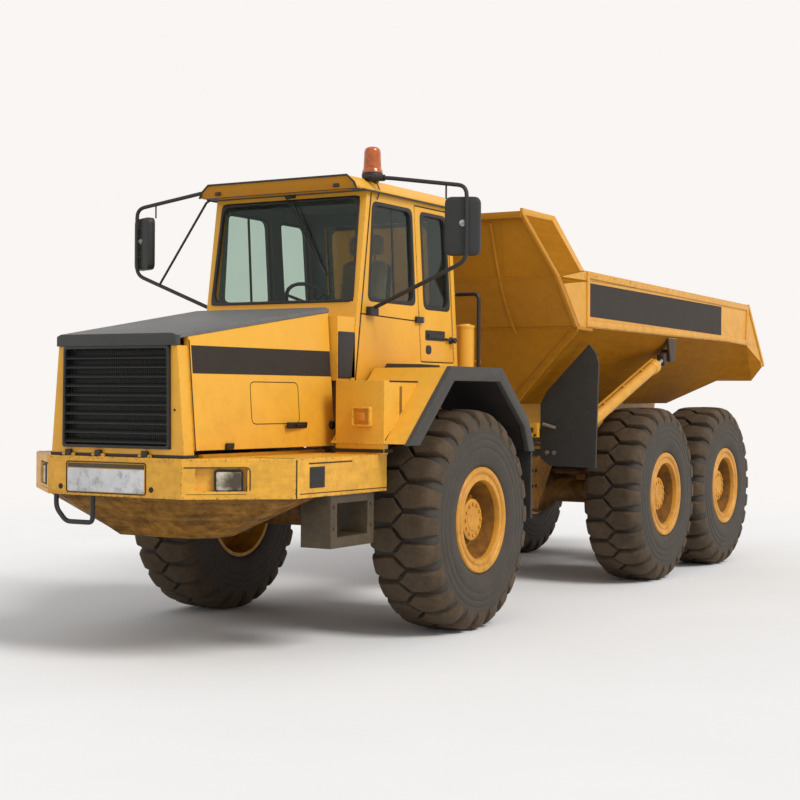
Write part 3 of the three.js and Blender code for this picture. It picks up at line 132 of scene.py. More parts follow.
def worn_enamel(name, colour, grime="#5d4326", dust=0.35, chips=0.4, low=(0.6, 2.2), gloss=0.42,
                streaks=0.0, knocked=(), specular=0.5):
    """Sprayed enamel. dust is its film of dirt, chips its edge damage, and low the heights
    in metres between which the dirt fades out. streaks adds level scrapes, and knocked lists
    (height, spread) bands where the paint is chipped as it is along an edge."""
    material, tree = new_material(name)
    place = add_node(tree, "ShaderNodeTexCoord").outputs["Object"]
    broad = add_node(tree, "ShaderNodeTexNoise", {
        "Vector": place, "Scale": 1.1, "Detail": 4.0, "Roughness": 0.6})       # 0.9 m patches
    blotch = add_node(tree, "ShaderNodeTexNoise", {
        "Vector": place, "Scale": 9.0, "Detail": 8.0, "Roughness": 0.72})      # 110 mm stains
    speck = add_node(tree, "ShaderNodeTexNoise", {
        "Vector": place, "Scale": 55.0, "Detail": 5.0, "Roughness": 0.65})     # 18 mm specks
    tone = ramp(tree, broad.outputs["Fac"], [(0.25, (0.95, 0.94, 0.92, 1)), (0.75, (1.03, 1.03, 1.03, 1))])
    body_colour = add_node(tree, "ShaderNodeMix", {
        "Factor": 1.0, "A": linear(colour), "B": tone}, data_type="RGBA", blend_type="MULTIPLY")
    height = add_node(tree, "ShaderNodeSeparateXYZ", {"Vector": place}).outputs["Z"]
    near_ground = add_node(tree, "ShaderNodeMapRange", {
        "Value": height, "From Min": low[0], "From Max": low[1], "To Min": 1.0, "To Max": 0.25})
    stain = ramp(tree, blotch.outputs["Fac"], [(0.42, GREY_ZERO), (0.74, GREY_ONE)])
    dirt = add_node(tree, "ShaderNodeMath", {
        0: stain, 1: near_ground.outputs["Result"]}, operation="MULTIPLY")
    film = add_node(tree, "ShaderNodeMath", {0: dirt.outputs[0], 1: dust}, operation="MULTIPLY",
                    use_clamp=True)
    dusty = add_node(tree, "ShaderNodeMix", {
        "Factor": film.outputs[0], "A": body_colour.outputs["Result"], "B": linear(grime)}, data_type="RGBA")
    if streaks:
        long_grain = add_node(tree, "ShaderNodeMapping", {"Vector": place, "Scale": (1.2, 1.2, 16.0)})
        scrape = add_node(tree, "ShaderNodeTexNoise", {
            "Vector": long_grain.outputs["Vector"], "Scale": 1.6, "Detail": 9.0, "Roughness": 0.72})
        scraped = ramp(tree, scrape.outputs["Fac"], [(0.44, GREY_ZERO), (0.66, GREY_ONE)])
        amount = add_node(tree, "ShaderNodeMath", {0: scraped, 1: streaks}, operation="MULTIPLY")
        dusty = add_node(tree, "ShaderNodeMix", {
            "Factor": amount.outputs[0], "A": dusty.outputs["Result"], "B": linear("#3f2a12")},
            data_type="RGBA")
    edge = add_node(tree, "ShaderNodeAttribute", attribute_name="edge").outputs["Fac"]
    for level, spread in knocked:
        away = add_node(tree, "ShaderNodeMath", {
            0: add_node(tree, "ShaderNodeMath", {0: height, 1: level}, operation="SUBTRACT").outputs[0]},
            operation="ABSOLUTE")
        close = add_node(tree, "ShaderNodeMapRange", {
            "Value": away.outputs[0], "From Max": spread, "To Min": 1.0, "To Max": 0.0})
        edge = add_node(tree, "ShaderNodeMath", {0: edge, 1: close.outputs["Result"]},
            operation="MAXIMUM").outputs[0]
    flake = ramp(tree, speck.outputs["Fac"], [(0.56, GREY_ZERO), (0.60, GREY_ONE)])
    rare = ramp(tree, blotch.outputs["Fac"], [(0.50, GREY_ZERO), (0.58, GREY_ONE)])
    on_edge = add_node(tree, "ShaderNodeMath", {0: edge, 1: flake}, operation="MULTIPLY")
    lone = add_node(tree, "ShaderNodeTexNoise", {
        "Vector": place, "Scale": 24.0, "Detail": 6.0, "Roughness": 0.8})      # scattered knocks
    knock = ramp(tree, lone.outputs["Fac"], [(0.70, GREY_ZERO), (0.72, GREY_ONE)])
    on_face = add_node(tree, "ShaderNodeMath", {0: knock, 1: rare}, operation="MULTIPLY")
    worn = add_node(tree, "ShaderNodeMath", {0: on_edge.outputs[0], 1: on_face.outputs[0]},
                    operation="MAXIMUM")
    chipped = add_node(tree, "ShaderNodeMath", {0: worn.outputs[0], 1: chips}, operation="MULTIPLY",
        use_clamp=True)
    final = add_node(tree, "ShaderNodeMix", {
        "Factor": chipped.outputs[0], "A": dusty.outputs["Result"], "B": linear("#3a2717")}, data_type="RGBA")
    rough = add_node(tree, "ShaderNodeMapRange", {
        "Value": film.outputs[0], "From Max": 0.6, "To Min": gloss, "To Max": 0.85})
    peel = add_node(tree, "ShaderNodeBump", {
        "Height": speck.outputs["Fac"], "Strength": 0.12, "Distance": 0.001})
    shader = add_node(tree, "ShaderNodeBsdfPrincipled", {
        "Base Color": final.outputs["Result"], "Roughness": rough.outputs["Result"],
        "Normal": peel.outputs["Normal"], "IOR": 1.5, "Specular IOR Level": specular})
    add_node(tree, "ShaderNodeOutputMaterial", {"Surface": shader.outputs["BSDF"]})
    return material


CAB_YELLOW = "#e6aa33"
cab_enamel = worn_enamel("cab_enamel", CAB_YELLOW, dust=0.30, chips=0.55)
bumper_enamel = worn_enamel("bumper_enamel", CAB_YELLOW, dust=0.55, chips=0.95, low=(0.8, 1.9), streaks=0.12,
                            knocked=((1.115, 0.05), (1.405, 0.035)))
# The belly plate's enamel is darker for its thick grime and also as painted shade under the truck.
belly_grime_and_painted_shade = worn_enamel("belly_grime_and_painted_shade", "#94661a", grime="#2e1c0b", dust=1.0, chips=0.9, low=(0.9, 1.8),
                           gloss=0.5, streaks=0.75, knocked=((1.10, 0.05),), specular=0.2)
hull_enamel = worn_enamel("hull_enamel", "#d99d33", grime="#7a5526", dust=0.35, chips=0.8, low=(1.6, 3.6),
                          knocked=((2.93, 0.07), (2.45, 0.04)))
# A darker, browner copy of the hull enamel for faces that stand in shade, such as the headboard, the roof's
# fascia and the bay sills: painted shade.
hull_painted_shade = worn_enamel("hull_painted_shade", "#b87d16", grime="#6a3f0c", dust=0.4, chips=0.6, low=(1.6, 3.6),
    gloss=0.5,
                         specular=0.25)
# A still darker copy for faces turned down or away, such as the hull's underside, the wing ahead of the side
# board and the low tail: painted shade, with less shine.
hull_underside_painted_shade = worn_enamel("hull_underside_painted_shade", "#9c6508", grime="#552f06", dust=0.4, chips=0.6, low=(1.4, 3.2),
    gloss=0.7,
                         streaks=0.2, specular=0.05)
# Frame and axle enamel is darker for grime and also as painted shade under the truck.
chassis_grime_and_painted_shade = worn_enamel("chassis_grime_and_painted_shade", "#7d5318", grime="#231a10", dust=1.0, chips=0.6,
    low=(0.7, 2.6), gloss=0.55)
rim_enamel = worn_enamel("rim_enamel", "#cf9127", grime="#51381f", dust=0.55, chips=0.8, low=(0.3, 1.9))
# The rim's dish enamel is darker for grime and also as painted shade in the deep well.
rim_dish_grime_and_painted_shade = worn_enamel("rim_dish_grime_and_painted_shade_enamel", "#8f5d12", grime="#33210f", dust=1.0, chips=0.8, low=(0.3, 2.4),
    gloss=0.55)
print("enamels made:", len(bpy.data.materials))

# %% [markdown]
# ## Rubber, moulded plastic and glass
# Tyre rubber is matt and nearly black, but on site its tread takes the brown of the
# ground, while the sidewall stays greyer. The mirrors, grille and trim are satin black.
# The panes are green-tinted safety glass: light passes straight through a thin pane and
# takes its tint, and the share that is mirrored grows towards a glancing view.

# %% The dark and clear materials
def dusty_black(name, colour, dust_colour, amount, rough, grain=40.0, depth=0.0006, specular=0.5):
    """A matt dark surface under a broken film of dust, with a fine grain of its own."""
    material, tree = new_material(name)
    place = add_node(tree, "ShaderNodeTexCoord").outputs["Object"]
    cloud = add_node(tree, "ShaderNodeTexNoise", {
        "Vector": place, "Scale": 7.0, "Detail": 7.0, "Roughness": 0.7})
    fine = add_node(tree, "ShaderNodeTexNoise", {
        "Vector": place, "Scale": grain, "Detail": 4.0, "Roughness": 0.6})
    mask = ramp(tree, cloud.outputs["Fac"], [(0.30, GREY_ZERO), (0.72, GREY_ONE)])
    film = add_node(tree, "ShaderNodeMath", {0: mask, 1: amount}, operation="MULTIPLY")
    colour_mix = add_node(tree, "ShaderNodeMix", {
        "Factor": film.outputs[0], "A": linear(colour), "B": linear(dust_colour)}, data_type="RGBA")
    speckled = ramp(tree, fine.outputs["Fac"], [(0.3, (0.82, 0.82, 0.82, 1)), (0.7, (1.15, 1.15, 1.15, 1))])
    toned = add_node(tree, "ShaderNodeMix", {
        "Factor": 1.0, "A": colour_mix.outputs["Result"], "B": speckled}, data_type="RGBA",
        blend_type="MULTIPLY")
    bump = add_node(tree, "ShaderNodeBump", {
        "Height": fine.outputs["Fac"], "Strength": 0.6, "Distance": depth})
    shader = add_node(tree, "ShaderNodeBsdfPrincipled", {
        "Base Color": toned.outputs["Result"], "Roughness": rough, "Normal": bump.outputs["Normal"],
        "Specular IOR Level": specular})
    add_node(tree, "ShaderNodeOutputMaterial", {"Surface": shader.outputs["BSDF"]})
    return material


tread_rubber = dusty_black("tread_rubber", "#392d20", "#5c4931", 0.75, 0.80, grain=30.0, depth=0.002)
sidewall_rubber = dusty_black("sidewall_rubber", "#38332e", "#4d443a", 0.5, 0.8)
sheet_rubber = dusty_black("sheet_rubber", "#2b2a28", "#453f38", 0.35, 0.75)
lip_rubber = dusty_black("fender_lip_rubber", "#33322f", "#4a453d", 0.4, 0.6)
underseal = dusty_black("black_underseal", "#16120e", "#2c2117", 0.5, 0.9, depth=0.001)
satin_black = dusty_black("satin_black_paint", "#131313", "#2c2a27", 0.25, 0.42, grain=90.0, depth=0.0002)
grained_plastic = dusty_black("grained_plastic", "#1d1f20", "#313130", 0.3, 0.55, grain=120.0, depth=0.0004)
cab_trim = dusty_black("cab_inner_trim", "#4a5350", "#596059", 0.3, 0.8, grain=80.0)
hood_matt = dusty_black("hood_matt_finish", "#5b5d5f", "#74726e", 0.45, 0.6, grain=60.0, depth=0.0003)
hood_gloss = dusty_black("hood_front_gloss", "#2b2e2f", "#45463f", 0.3, 0.3, grain=60.0, depth=0.0002)
engine_paint = dusty_black("engine_paint", "#2a2c2b", "#4a4136", 0.6, 0.6)
floor_mat = dusty_black("ribbed_floor_mat", "#262626", "#453e35", 0.5, 0.8)
decal_film = dusty_black("blank_decal_film", "#2f2925", "#443c34", 0.3, 0.6, grain=70.0, depth=0.0001,
    specular=0.2)


def tinted_glass():
    material, tree = new_material("tinted_safety_glass")
    place = add_node(tree, "ShaderNodeTexCoord").outputs["Object"]
    haze = add_node(tree, "ShaderNodeTexNoise", {"Vector": place, "Scale": 2.5, "Detail": 5.0})
    rough = add_node(tree, "ShaderNodeMapRange", {
        "Value": haze.outputs["Fac"], "From Min": 0.4, "From Max": 0.8, "To Min": 0.03, "To Max": 0.16})
    # Light passes two faces of a pane, so each face takes the square root of the pane's tint.
    tint = ramp(tree, haze.outputs["Fac"], [(0.35, (0.79, 0.85, 0.815, 1)), (0.75, (0.81, 0.865, 0.835, 1))])
    through = add_node(tree, "ShaderNodeBsdfTransparent", {"Color": tint})
    shine = add_node(tree, "ShaderNodeBsdfGlossy", {
        "Color": linear("#dfe8e4"), "Roughness": rough.outputs["Result"]})
    outer = add_node(tree, "ShaderNodeMath", {
        0: 1.0, 1: add_node(tree, "ShaderNodeNewGeometry").outputs["Backfacing"]}, operation="SUBTRACT")
    share = add_node(tree, "ShaderNodeMath", {
        0: add_node(tree, "ShaderNodeFresnel", {"IOR": 1.42}).outputs["Fac"], 1: outer.outputs[0]},
        operation="MULTIPLY")
    surface = add_node(tree, "ShaderNodeMixShader", {
        "Fac": share.outputs[0], 1: through.outputs["BSDF"], 2: shine.outputs["BSDF"]})
    add_node(tree, "ShaderNodeOutputMaterial", {"Surface": surface.outputs["Shader"]})
    return material


glass = tinted_glass()
print("dark and clear materials ready")

# %% [markdown]
# ## Metals
# The hoist rods are ground and plated, so they mirror their surroundings with a slight
# stretch along the grinding. Small fittings are zinc-plated and duller.

# %% Plated and bare metal
def plated(name, colour, rough):
    material, tree = new_material(name)
    place = add_node(tree, "ShaderNodeTexCoord").outputs["Object"]
    smear = add_node(tree, "ShaderNodeTexNoise", {"Vector": place, "Scale": 22.0, "Detail": 5.0})
    tone = ramp(tree, smear.outputs["Fac"], [(0.3, linear("#6e6a62")), (0.6, linear(colour))])
    roughness = add_node(tree, "ShaderNodeMapRange", {
        "Value": smear.outputs["Fac"], "From Min": 0.3, "From Max": 0.7, "To Min": rough + 0.2,
        "To Max": rough})
    shader = add_node(tree, "ShaderNodeBsdfPrincipled", {
        "Base Color": tone, "Metallic": 1.0, "Roughness": roughness.outputs["Result"]})
    add_node(tree, "ShaderNodeOutputMaterial", {"Surface": shader.outputs["BSDF"]})
    return material


plated_rod = plated("plated_rod", "#c9c8c4", 0.16)
zinc_fitting = plated("zinc_fitting", "#b5b2a8", 0.38)
print("metals ready")

# %% [markdown]
# ## Rounded copies of the solid parts
# A real pressed or welded panel has no sharp edge: each one is rolled or ground to a few
# millimetres, and that thin round catches the light. Most parts already have the right
# shape, so the quickest honest way is to copy a part's mesh, merge its loose triangles
# into flat faces, and bevel the edges that turn sharply. The new bevel faces carry the
# "edge" attribute that the enamel reads.

# %% A helper that rounds a part's edges
def finish_mesh(bm, name, materials, body, stands_for=(), sharp=35.0):
    """Turns a bmesh into a finished piece on its body, with its materials."""
    mesh = bpy.data.meshes.new(name)
    bm.to_mesh(mesh)
    bm.free()
    for material in materials:
        mesh.materials.append(material)
    mesh.polygons.foreach_set("use_smooth", [True] * len(mesh.polygons))
    mesh.set_sharp_from_angle(angle=math.radians(sharp))
    made = bpy.data.objects.new(name, mesh)
    bpy.context.scene.collection.objects.link(made)
    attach(made, body)
    for node_name in stands_for:
        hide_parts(node_name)
    return made


def merged_copy(node_name):
    """A solid part's mesh with its loose triangles welded and its flat faces joined."""
    bm = bmesh.new()
    bm.from_mesh(solids[node_name].data)
    bmesh.ops.remove_doubles(bm, verts=bm.verts, dist=1e-5)
    bmesh.ops.dissolve_limit(bm, angle_limit=math.radians(0.8), verts=bm.verts, edges=bm.edges)
    return bm


def round_edges(bm, width, segments=2, turn=24.0, shortest=0.03):
    """Bevels the edges that turn by more than an angle, and marks the new faces."""
    layer = bm.faces.layers.float.new("edge")
    edges = [e for e in bm.edges if len(e.link_faces) == 2 and e.calc_length() > shortest
             and e.calc_face_angle(0.0) > math.radians(turn)]
    result = bmesh.ops.bevel(bm, geom=edges, offset=width, offset_type="OFFSET", segments=segments,
                             profile=0.7, affect="EDGES", clamp_overlap=False)
    for face in result["faces"]:
        face[layer] = 1.0


FRONT_AXLE_Y = next(j["pos_m"][1] for j in frame["joints"] if j["child"] == "wheel_front_left")
WHEEL_CENTRE = Vector((1.09, 0.0, 0.862))


def rounded(node_name, material, width=0.004, zones=(), **options):
    """A rounded copy. zones lists (material, test) pairs, and a face whose middle and normal
    pass a test takes that material. Middles are counted from the front axle, on the left."""
    bm = merged_copy(node_name)
    round_edges(bm, width, **options)
    mirror = -1 if node_name.endswith("right") else 1
    for face in bm.faces:
        middle, normal = face.calc_center_median(), face.normal
        middle = Vector((middle.x * mirror, middle.y - FRONT_AXLE_Y, middle.z))
        normal = Vector((normal.x * mirror, normal.y, normal.z))
        for index, (_, test) in enumerate(zones):
            if test(middle, normal):
                face.material_index = index + 1
    return finish_mesh(bm, f"{node_name}_panelwork", [material] + [zone[0] for zone in zones],
                       solids[node_name]["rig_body"], stands_for=[node_name])


cast_iron = dusty_black("dusty_cast_iron", "#33271b", "#4d3a25", 0.8, 0.6, grain=50.0, depth=0.001)
worn_steel = dusty_black("worn_bare_steel", "#3a3023", "#58492f", 0.8, 0.6, grain=50.0, depth=0.001)
ZONES = {
    "bumper": [(worn_steel, lambda at, n: at.z < 1.085 and at.x > 0.85)],
    "hood_top": [(hood_gloss, lambda at, n: at.y < -2.60)],
    "cab_front": [(cab_trim, lambda at, n: n.y > 0.5)],
    "cab_rear": [(cab_trim, lambda at, n: n.y < -0.5)],
    "cab_roof": [(cab_trim, lambda at, n: n.z < -0.6 and abs(at.x) < 0.6 and abs(at.y) < 0.66),
                 # Faces turned forward, the visor's fascia, take the darker hull enamel: painted shade.
                 (hull_painted_shade, lambda at, n: n.y < -0.35)],
    "front_frame": [(cab_enamel, lambda at, n: at.z > 2.0)],
    # Faces turned down take the darker underside enamel: painted shade.
    "body_floor": [(hull_underside_painted_shade, lambda at, n: n.z < -0.15),
                   (cast_iron, lambda at, n: abs(at.x) > 1.15 and 4.2 < at.y < 4.8 and at.z < 2.40)],
}
for side in ("left", "right"):
    ZONES["fender_" + side] = [
        (underseal, lambda at, n: (WHEEL_CENTRE - at).normalized().dot(n) > 0.45 and 0.74 < at.x),
        (sheet_rubber, lambda at, n: at.y > 0.86 and at.z < 1.5),
        (lip_rubber, lambda at, n: at.x > 1.422)]
    ZONES["body_side_" + side] = [
        # The wing ahead of the side board, faces turned down and the low tail take the darker underside
        # enamel: painted shade.
        (hull_underside_painted_shade, lambda at,
         n: at.y < 2.38 or (n.z < -0.15 and at.y > 2.4) or (at.y > 6.93 and at.z < 2.45)),
        (cast_iron, lambda at, n: at.x > 1.24 and 4.25 < at.y < 4.70 and at.z < 2.42)]

FINISHES = {
    cab_enamel: ["nose_frame", "cab_front", "cab_rear", "cab_roof", "hood_side_left", "hood_side_right",
                 "fender_left", "fender_right"],
    bumper_enamel: ["bumper"],
    belly_grime_and_painted_shade: ["belly_plate"],
    hull_enamel: ["body_floor", "body_side_left", "body_side_right"],
    # The headboard takes the darker hull enamel: painted shade where the cab and the guard's lip shade it.
    hull_painted_shade: ["headboard"],
    chassis_grime_and_painted_shade: ["front_frame", "rear_frame", "hitch", "front_axle", "middle_axle", "rear_axle"],
    sheet_rubber: ["stone_flap_left", "stone_flap_right"],
    hood_matt: ["hood_top"],
}
for material, names in FINISHES.items():
    for node_name in names:
        rounded(node_name, material, zones=ZONES.get(node_name, ()))
print("rounded parts:", sum(len(names) for names in FINISHES.values()))

# %% [markdown]
# ## The wheels
# Each wheel is a rock tyre on a steel rim. The tyre is a casing with two rows of deep
# rubber blocks that meet along a zigzag groove. A casing follows one profile all the way
# round, so it is turned like a pot. The blocks repeat, so Geometry Nodes place one block
# around the axle by count and phase.

# %% Turning a profile about the axle
TURN_STEPS = 96


def turned(bm, profile, steps=TURN_STEPS, material_index=0):
    """Adds the closed shell of a profile of (along x, radius) points turned about x."""
    rings = []
    for along, radius in profile:
        if radius < 1e-6:
            rings.append([bm.verts.new((along, 0, 0))] * steps)
            continue
        rings.append([bm.verts.new((along, radius * math.sin(2 * math.pi * k / steps),
                                    radius * math.cos(2 * math.pi * k / steps))) for k in range(steps)])
    made = []
    for ring, following in zip(rings, rings[1:]):
        for k in range(steps):
            corners = [ring[k], ring[(k + 1) % steps], following[(k + 1) % steps], following[k]]
            unique = list(dict.fromkeys(corners))
            if len(unique) > 2:
                face = bm.faces.new(unique)
                face.material_index = material_index
                made.append(face)
    return made


def outwards(bm):
    bmesh.ops.remove_doubles(bm, verts=bm.verts, dist=1e-6)
    bmesh.ops.recalc_face_normals(bm, faces=bm.faces)


TYRE_RADIUS = 0.8615
BEAD_RADIUS = 0.4152
CASING_RADIUS = TYRE_RADIUS - 0.040


def casing():
    """The tyre without its blocks: bead, ribbed sidewall, shoulder and the bottom of the tread."""
    side = [(0.253, BEAD_RADIUS), (0.268, BEAD_RADIUS + 0.012), (0.280, 0.455), (0.2865, 0.520),
            (0.2870, 0.560),
            (0.2830, 0.566), (0.2860, 0.572), (0.2862, 0.620), (0.2820, 0.626), (0.2850, 0.632),
            (0.2835, 0.672),
            (0.2790, 0.678), (0.2815, 0.684), (0.2770, 0.715), (0.2600, 0.765), (0.2300, 0.797),
            (0.16, CASING_RADIUS - 0.008),
            (0.0, CASING_RADIUS)]
    whole = [(-x, r) for x, r in side] + [(x, r) for x, r in reversed(side)][1:]
    bm = bmesh.new()
    turned(bm, whole + [whole[0]])
    outwards(bm)
    return bm


print("casing profile reaches", CASING_RADIUS, "m and each block adds", round(TYRE_RADIUS - CASING_RADIUS, 3),
      "m")

# %% [markdown]
# One tread block is a hexagon in plan. Its inner tip reaches past the middle into the gap
# between two blocks of the other row, so the groove between the rows is a narrow zigzag.
# Its flanks slope, and its outer end bends down over the shoulder. It
# is made as a row of cross-sections, so it has only a few dozen faces.

# %% One tread block
BLOCKS_PER_ROW = 24
PITCH = 2 * math.pi / BLOCKS_PER_ROW
# Place along the axle, half width as a share of the pitch, height of the top, height of the foot.
BLOCK_SECTIONS = [
    (-0.036, 0.02, TYRE_RADIUS - 0.004, CASING_RADIUS - 0.012),
    (0.006, 0.221, TYRE_RADIUS, CASING_RADIUS - 0.012),
    (0.048, 0.442, TYRE_RADIUS, CASING_RADIUS - 0.012),
    (0.130, 0.440, TYRE_RADIUS - 0.002, CASING_RADIUS - 0.02),
    (0.185, 0.39, TYRE_RADIUS - 0.006, CASING_RADIUS - 0.03),
    (0.222, 0.36, TYRE_RADIUS - 0.014, CASING_RADIUS - 0.05),
    (0.252, 0.345, TYRE_RADIUS - 0.040, 0.742), (0.2785, 0.335, TYRE_RADIUS - 0.088, 0.715),
    (0.2805, 0.33, 0.722, 0.712)]
FLANK_DRAFT = 0.035


def tread_block():
    bm = bmesh.new()
    rows = []
    for across, share, top, foot in BLOCK_SECTIONS:
        half = share * PITCH
        draft = min(FLANK_DRAFT * PITCH * 2, half * 0.6)
        row = []
        for angle, radius in [(-half, foot), (-half + draft * 0.5, top - 0.009), (-half + draft, top),
            (0.0, top + 0.001),
                              (half - draft, top), (half - draft * 0.5, top - 0.009), (half, foot)]:
            row.append(bm.verts.new((across, radius * math.sin(angle), radius * math.cos(angle))))
        rows.append(row)
    for near, far in zip(rows, rows[1:]):
        count = len(near)
        for k in range(count):
            bm.faces.new([near[k], near[(k + 1) % count], far[(k + 1) % count], far[k]])
    bm.faces.new(rows[0])
    bm.faces.new(rows[-1][::-1])
    outwards(bm)
    mesh = bpy.data.meshes.new("tread_block")
    bm.to_mesh(mesh)
    bm.free()
    return mesh


def loose_object(mesh, name):
    made = bpy.data.objects.new(name, mesh)
    bpy.context.scene.collection.objects.link(made)
    return made


block = loose_object(tread_block(), "tread_block")
print("faces in one block:", len(block.data.polygons))

# %% [markdown]
# The tree below takes the block, the number of blocks and a switch for the other row. It makes
# that many points on the axle, turns an instance of the block at each, and, when the switch is
# on, does the same for the other row, which is turned end for end and half a pitch further on.

# %% A node tree that places blocks round the axle
def new_tree(name, inputs):
    """A geometry node tree with named inputs: (name, socket type, default)."""
    tree = bpy.data.node_groups.new(name, "GeometryNodeTree")
    tree.interface.new_socket("Geometry", in_out="INPUT", socket_type="NodeSocketGeometry")
    for label, kind, default in inputs:
        socket = tree.interface.new_socket(label, in_out="INPUT", socket_type=kind)
        if default is not None:
            socket.default_value = default
    tree.interface.new_socket("Geometry", in_out="OUTPUT", socket_type="NodeSocketGeometry")
    entry = add_node(tree, "NodeGroupInput")
    return tree, entry.outputs


def end_tree(tree, geometry, material):
    realized = add_node(tree, "GeometryNodeRealizeInstances", {"Geometry": geometry})
    painted = add_node(tree, "GeometryNodeSetMaterial", {
        "Geometry": realized.outputs["Geometry"], "Material": material})
    add_node(tree, "NodeGroupOutput", {"Geometry": painted.outputs["Geometry"]})


def grown(tree, **values):
    """The plain mesh that a tree makes with these named inputs."""
    carrier = loose_object(bpy.data.meshes.new("carrier"), "carrier")
    modifier = carrier.modifiers.new("nodes", "NODES")
    modifier.node_group = tree
    for item in tree.interface.items_tree:
        if item.item_type == "SOCKET" and item.in_out == "INPUT" and item.name in values:
            modifier[item.identifier] = values[item.name]
    depsgraph = bpy.context.evaluated_depsgraph_get()
    depsgraph.update()
    mesh = bpy.data.meshes.new_from_object(carrier.evaluated_get(depsgraph))
    bpy.data.objects.remove(carrier)
    return mesh


def ring_tree():
    tree, given = new_tree("blocks_round_axle", [
        ("Block", "NodeSocketObject", None), ("Count", "NodeSocketInt", BLOCKS_PER_ROW),
        ("Other row", "NodeSocketBool", True)])
    shape = add_node(tree, "GeometryNodeObjectInfo", {"Object": given["Block"]}).outputs["Geometry"]
    points = add_node(tree, "GeometryNodePoints", {"Count": given["Count"]}).outputs["Points"]
    index = add_node(tree, "GeometryNodeInputIndex").outputs["Index"]
    step = add_node(tree, "ShaderNodeMath", {0: 2 * math.pi, 1: given["Count"]}, operation="DIVIDE")
    rows = []
    for end_for_end, offset in ((0.0, 0.0), (math.pi, 0.5)):
        place = add_node(tree, "ShaderNodeMath", {0: index, 1: offset}, operation="ADD")
        angle = add_node(tree, "ShaderNodeMath", {0: place.outputs[0], 1: step.outputs[0]},
            operation="MULTIPLY")
        turn = add_node(tree, "FunctionNodeEulerToRotation", {
            "Euler": add_node(tree, "ShaderNodeCombineXYZ", {"X": angle.outputs[0]}).outputs["Vector"]})
        flip = add_node(tree, "FunctionNodeRotateRotation", {
            "Rotation": turn.outputs["Rotation"],
            "Rotate By": add_node(tree, "FunctionNodeEulerToRotation", {
                "Euler": (0.0, 0.0, end_for_end)}).outputs["Rotation"]}, rotation_space="LOCAL")
        rows.append(add_node(tree, "GeometryNodeInstanceOnPoints", {
            "Points": points, "Instance": shape, "Rotation": flip.outputs["Rotation"]}).outputs["Instances"])
    second = add_node(tree, "GeometryNodeSwitch", {
        "Switch": given["Other row"], "True": rows[1]}, input_type="GEOMETRY")
    both = add_node(tree, "GeometryNodeJoinGeometry")
    tree.links.new(second.outputs["Output"], both.inputs[0])
    tree.links.new(rows[0], both.inputs[0])
    end_tree(tree, both.outputs["Geometry"], tread_rubber)
    return tree


around_axle = ring_tree()
tread_mesh = grown(around_axle, Block=block, Count=BLOCKS_PER_ROW)
print("tread faces:", len(tread_mesh.polygons))

# %% [markdown]
# The rim is a steel pressing: an outer flange, a lock ring, a deep dish and the cover of
# the hub's gears with its ring of bolts. The bolts repeat round the axle, so the same
# tree places them.

# %% Hexagon bolt heads and the rim
def hexagon_head(across, height, chamfer=0.15):
    """A bolt head on the axle line at zero radius, its top facing along +x."""
    bm = bmesh.new()
    rings = []
    for x, scale in ((-0.01, 1.0), (height * (1 - chamfer), 1.0), (height, 1 - chamfer)):
        rings.append([bm.verts.new((x, across / 1.732 * scale * math.sin(math.pi / 3 * k),
                                    across / 1.732 * scale * math.cos(math.pi / 3 * k))) for k in range(6)])
    for near, far in zip(rings, rings[1:]):
        for k in range(6):
            bm.faces.new([near[k], near[(k + 1) % 6], far[(k + 1) % 6], far[k]])
    bm.faces.new(rings[-1])
    bm.faces.new(rings[0][::-1])
    outwards(bm)
    return bm


def bolt_ring(count, circle, across, height, x):
    bm = hexagon_head(across, height)
    bmesh.ops.translate(bm, verts=bm.verts, vec=(x, 0, circle))
    mesh = bpy.data.meshes.new("bolt")
    bm.to_mesh(mesh)
    bm.free()
    bolt = loose_object(mesh, "bolt")
    ring = grown(around_axle, Block=bolt, Count=count, **{"Other row": False})
    bpy.data.objects.remove(bolt)
    return ring


RIM_FACE = 0.276
RIM_PROFILE = [
    (RIM_FACE - 0.092, 0.0), (RIM_FACE - 0.080, 0.030), (RIM_FACE - 0.080, 0.085), (RIM_FACE - 0.086, 0.092),
    (RIM_FACE - 0.086, 0.150), (RIM_FACE - 0.094, 0.162), (0.150, 0.170), (0.085, 0.176), (0.066, 0.190),
    (0.060, 0.215),
    (0.060, 0.258), (0.070, 0.272), (0.190, 0.297), (0.225, 0.303), (RIM_FACE - 0.018, 0.306),
    (RIM_FACE - 0.008, 0.312),
    (RIM_FACE - 0.010, 0.345), (RIM_FACE - 0.016, 0.350), (RIM_FACE - 0.016, 0.362),
    (RIM_FACE - 0.006, 0.368),
    (RIM_FACE, 0.385), (RIM_FACE - 0.002, 0.405), (RIM_FACE - 0.012, 0.4138), (RIM_FACE - 0.030, 0.4138),
    (-0.257, 0.4138), (-0.257, 0.384), (0.010, 0.372), (0.020, 0.240), (0.020, 0.150), (-0.030, 0.140),
    (-0.030, 0.0)]


def add_mesh(bm, mesh, material_index=0):
    before = len(bm.faces)
    bm.from_mesh(mesh)
    bm.faces.ensure_lookup_table()
    for face in bm.faces[before:]:
        face.material_index = material_index


def wheel_parts():
    tyre = casing()
    add_mesh(tyre, tread_mesh, 1)
    rim = bmesh.new()
    for face in turned(rim, RIM_PROFILE):
        middle = face.calc_center_median()
        # Faces of the dish take the darker dish enamel: grime and painted shade.
        if middle.x < 0.215 and 0.165 < math.hypot(middle.y, middle.z) < 0.303:
            face.material_index = 1
    outwards(rim)
    add_mesh(rim, bolt_ring(12, 0.122, 0.024, 0.012, RIM_FACE - 0.086))
    add_mesh(rim, bolt_ring(16, 0.236, 0.034, 0.022, 0.060))
    return tyre, rim


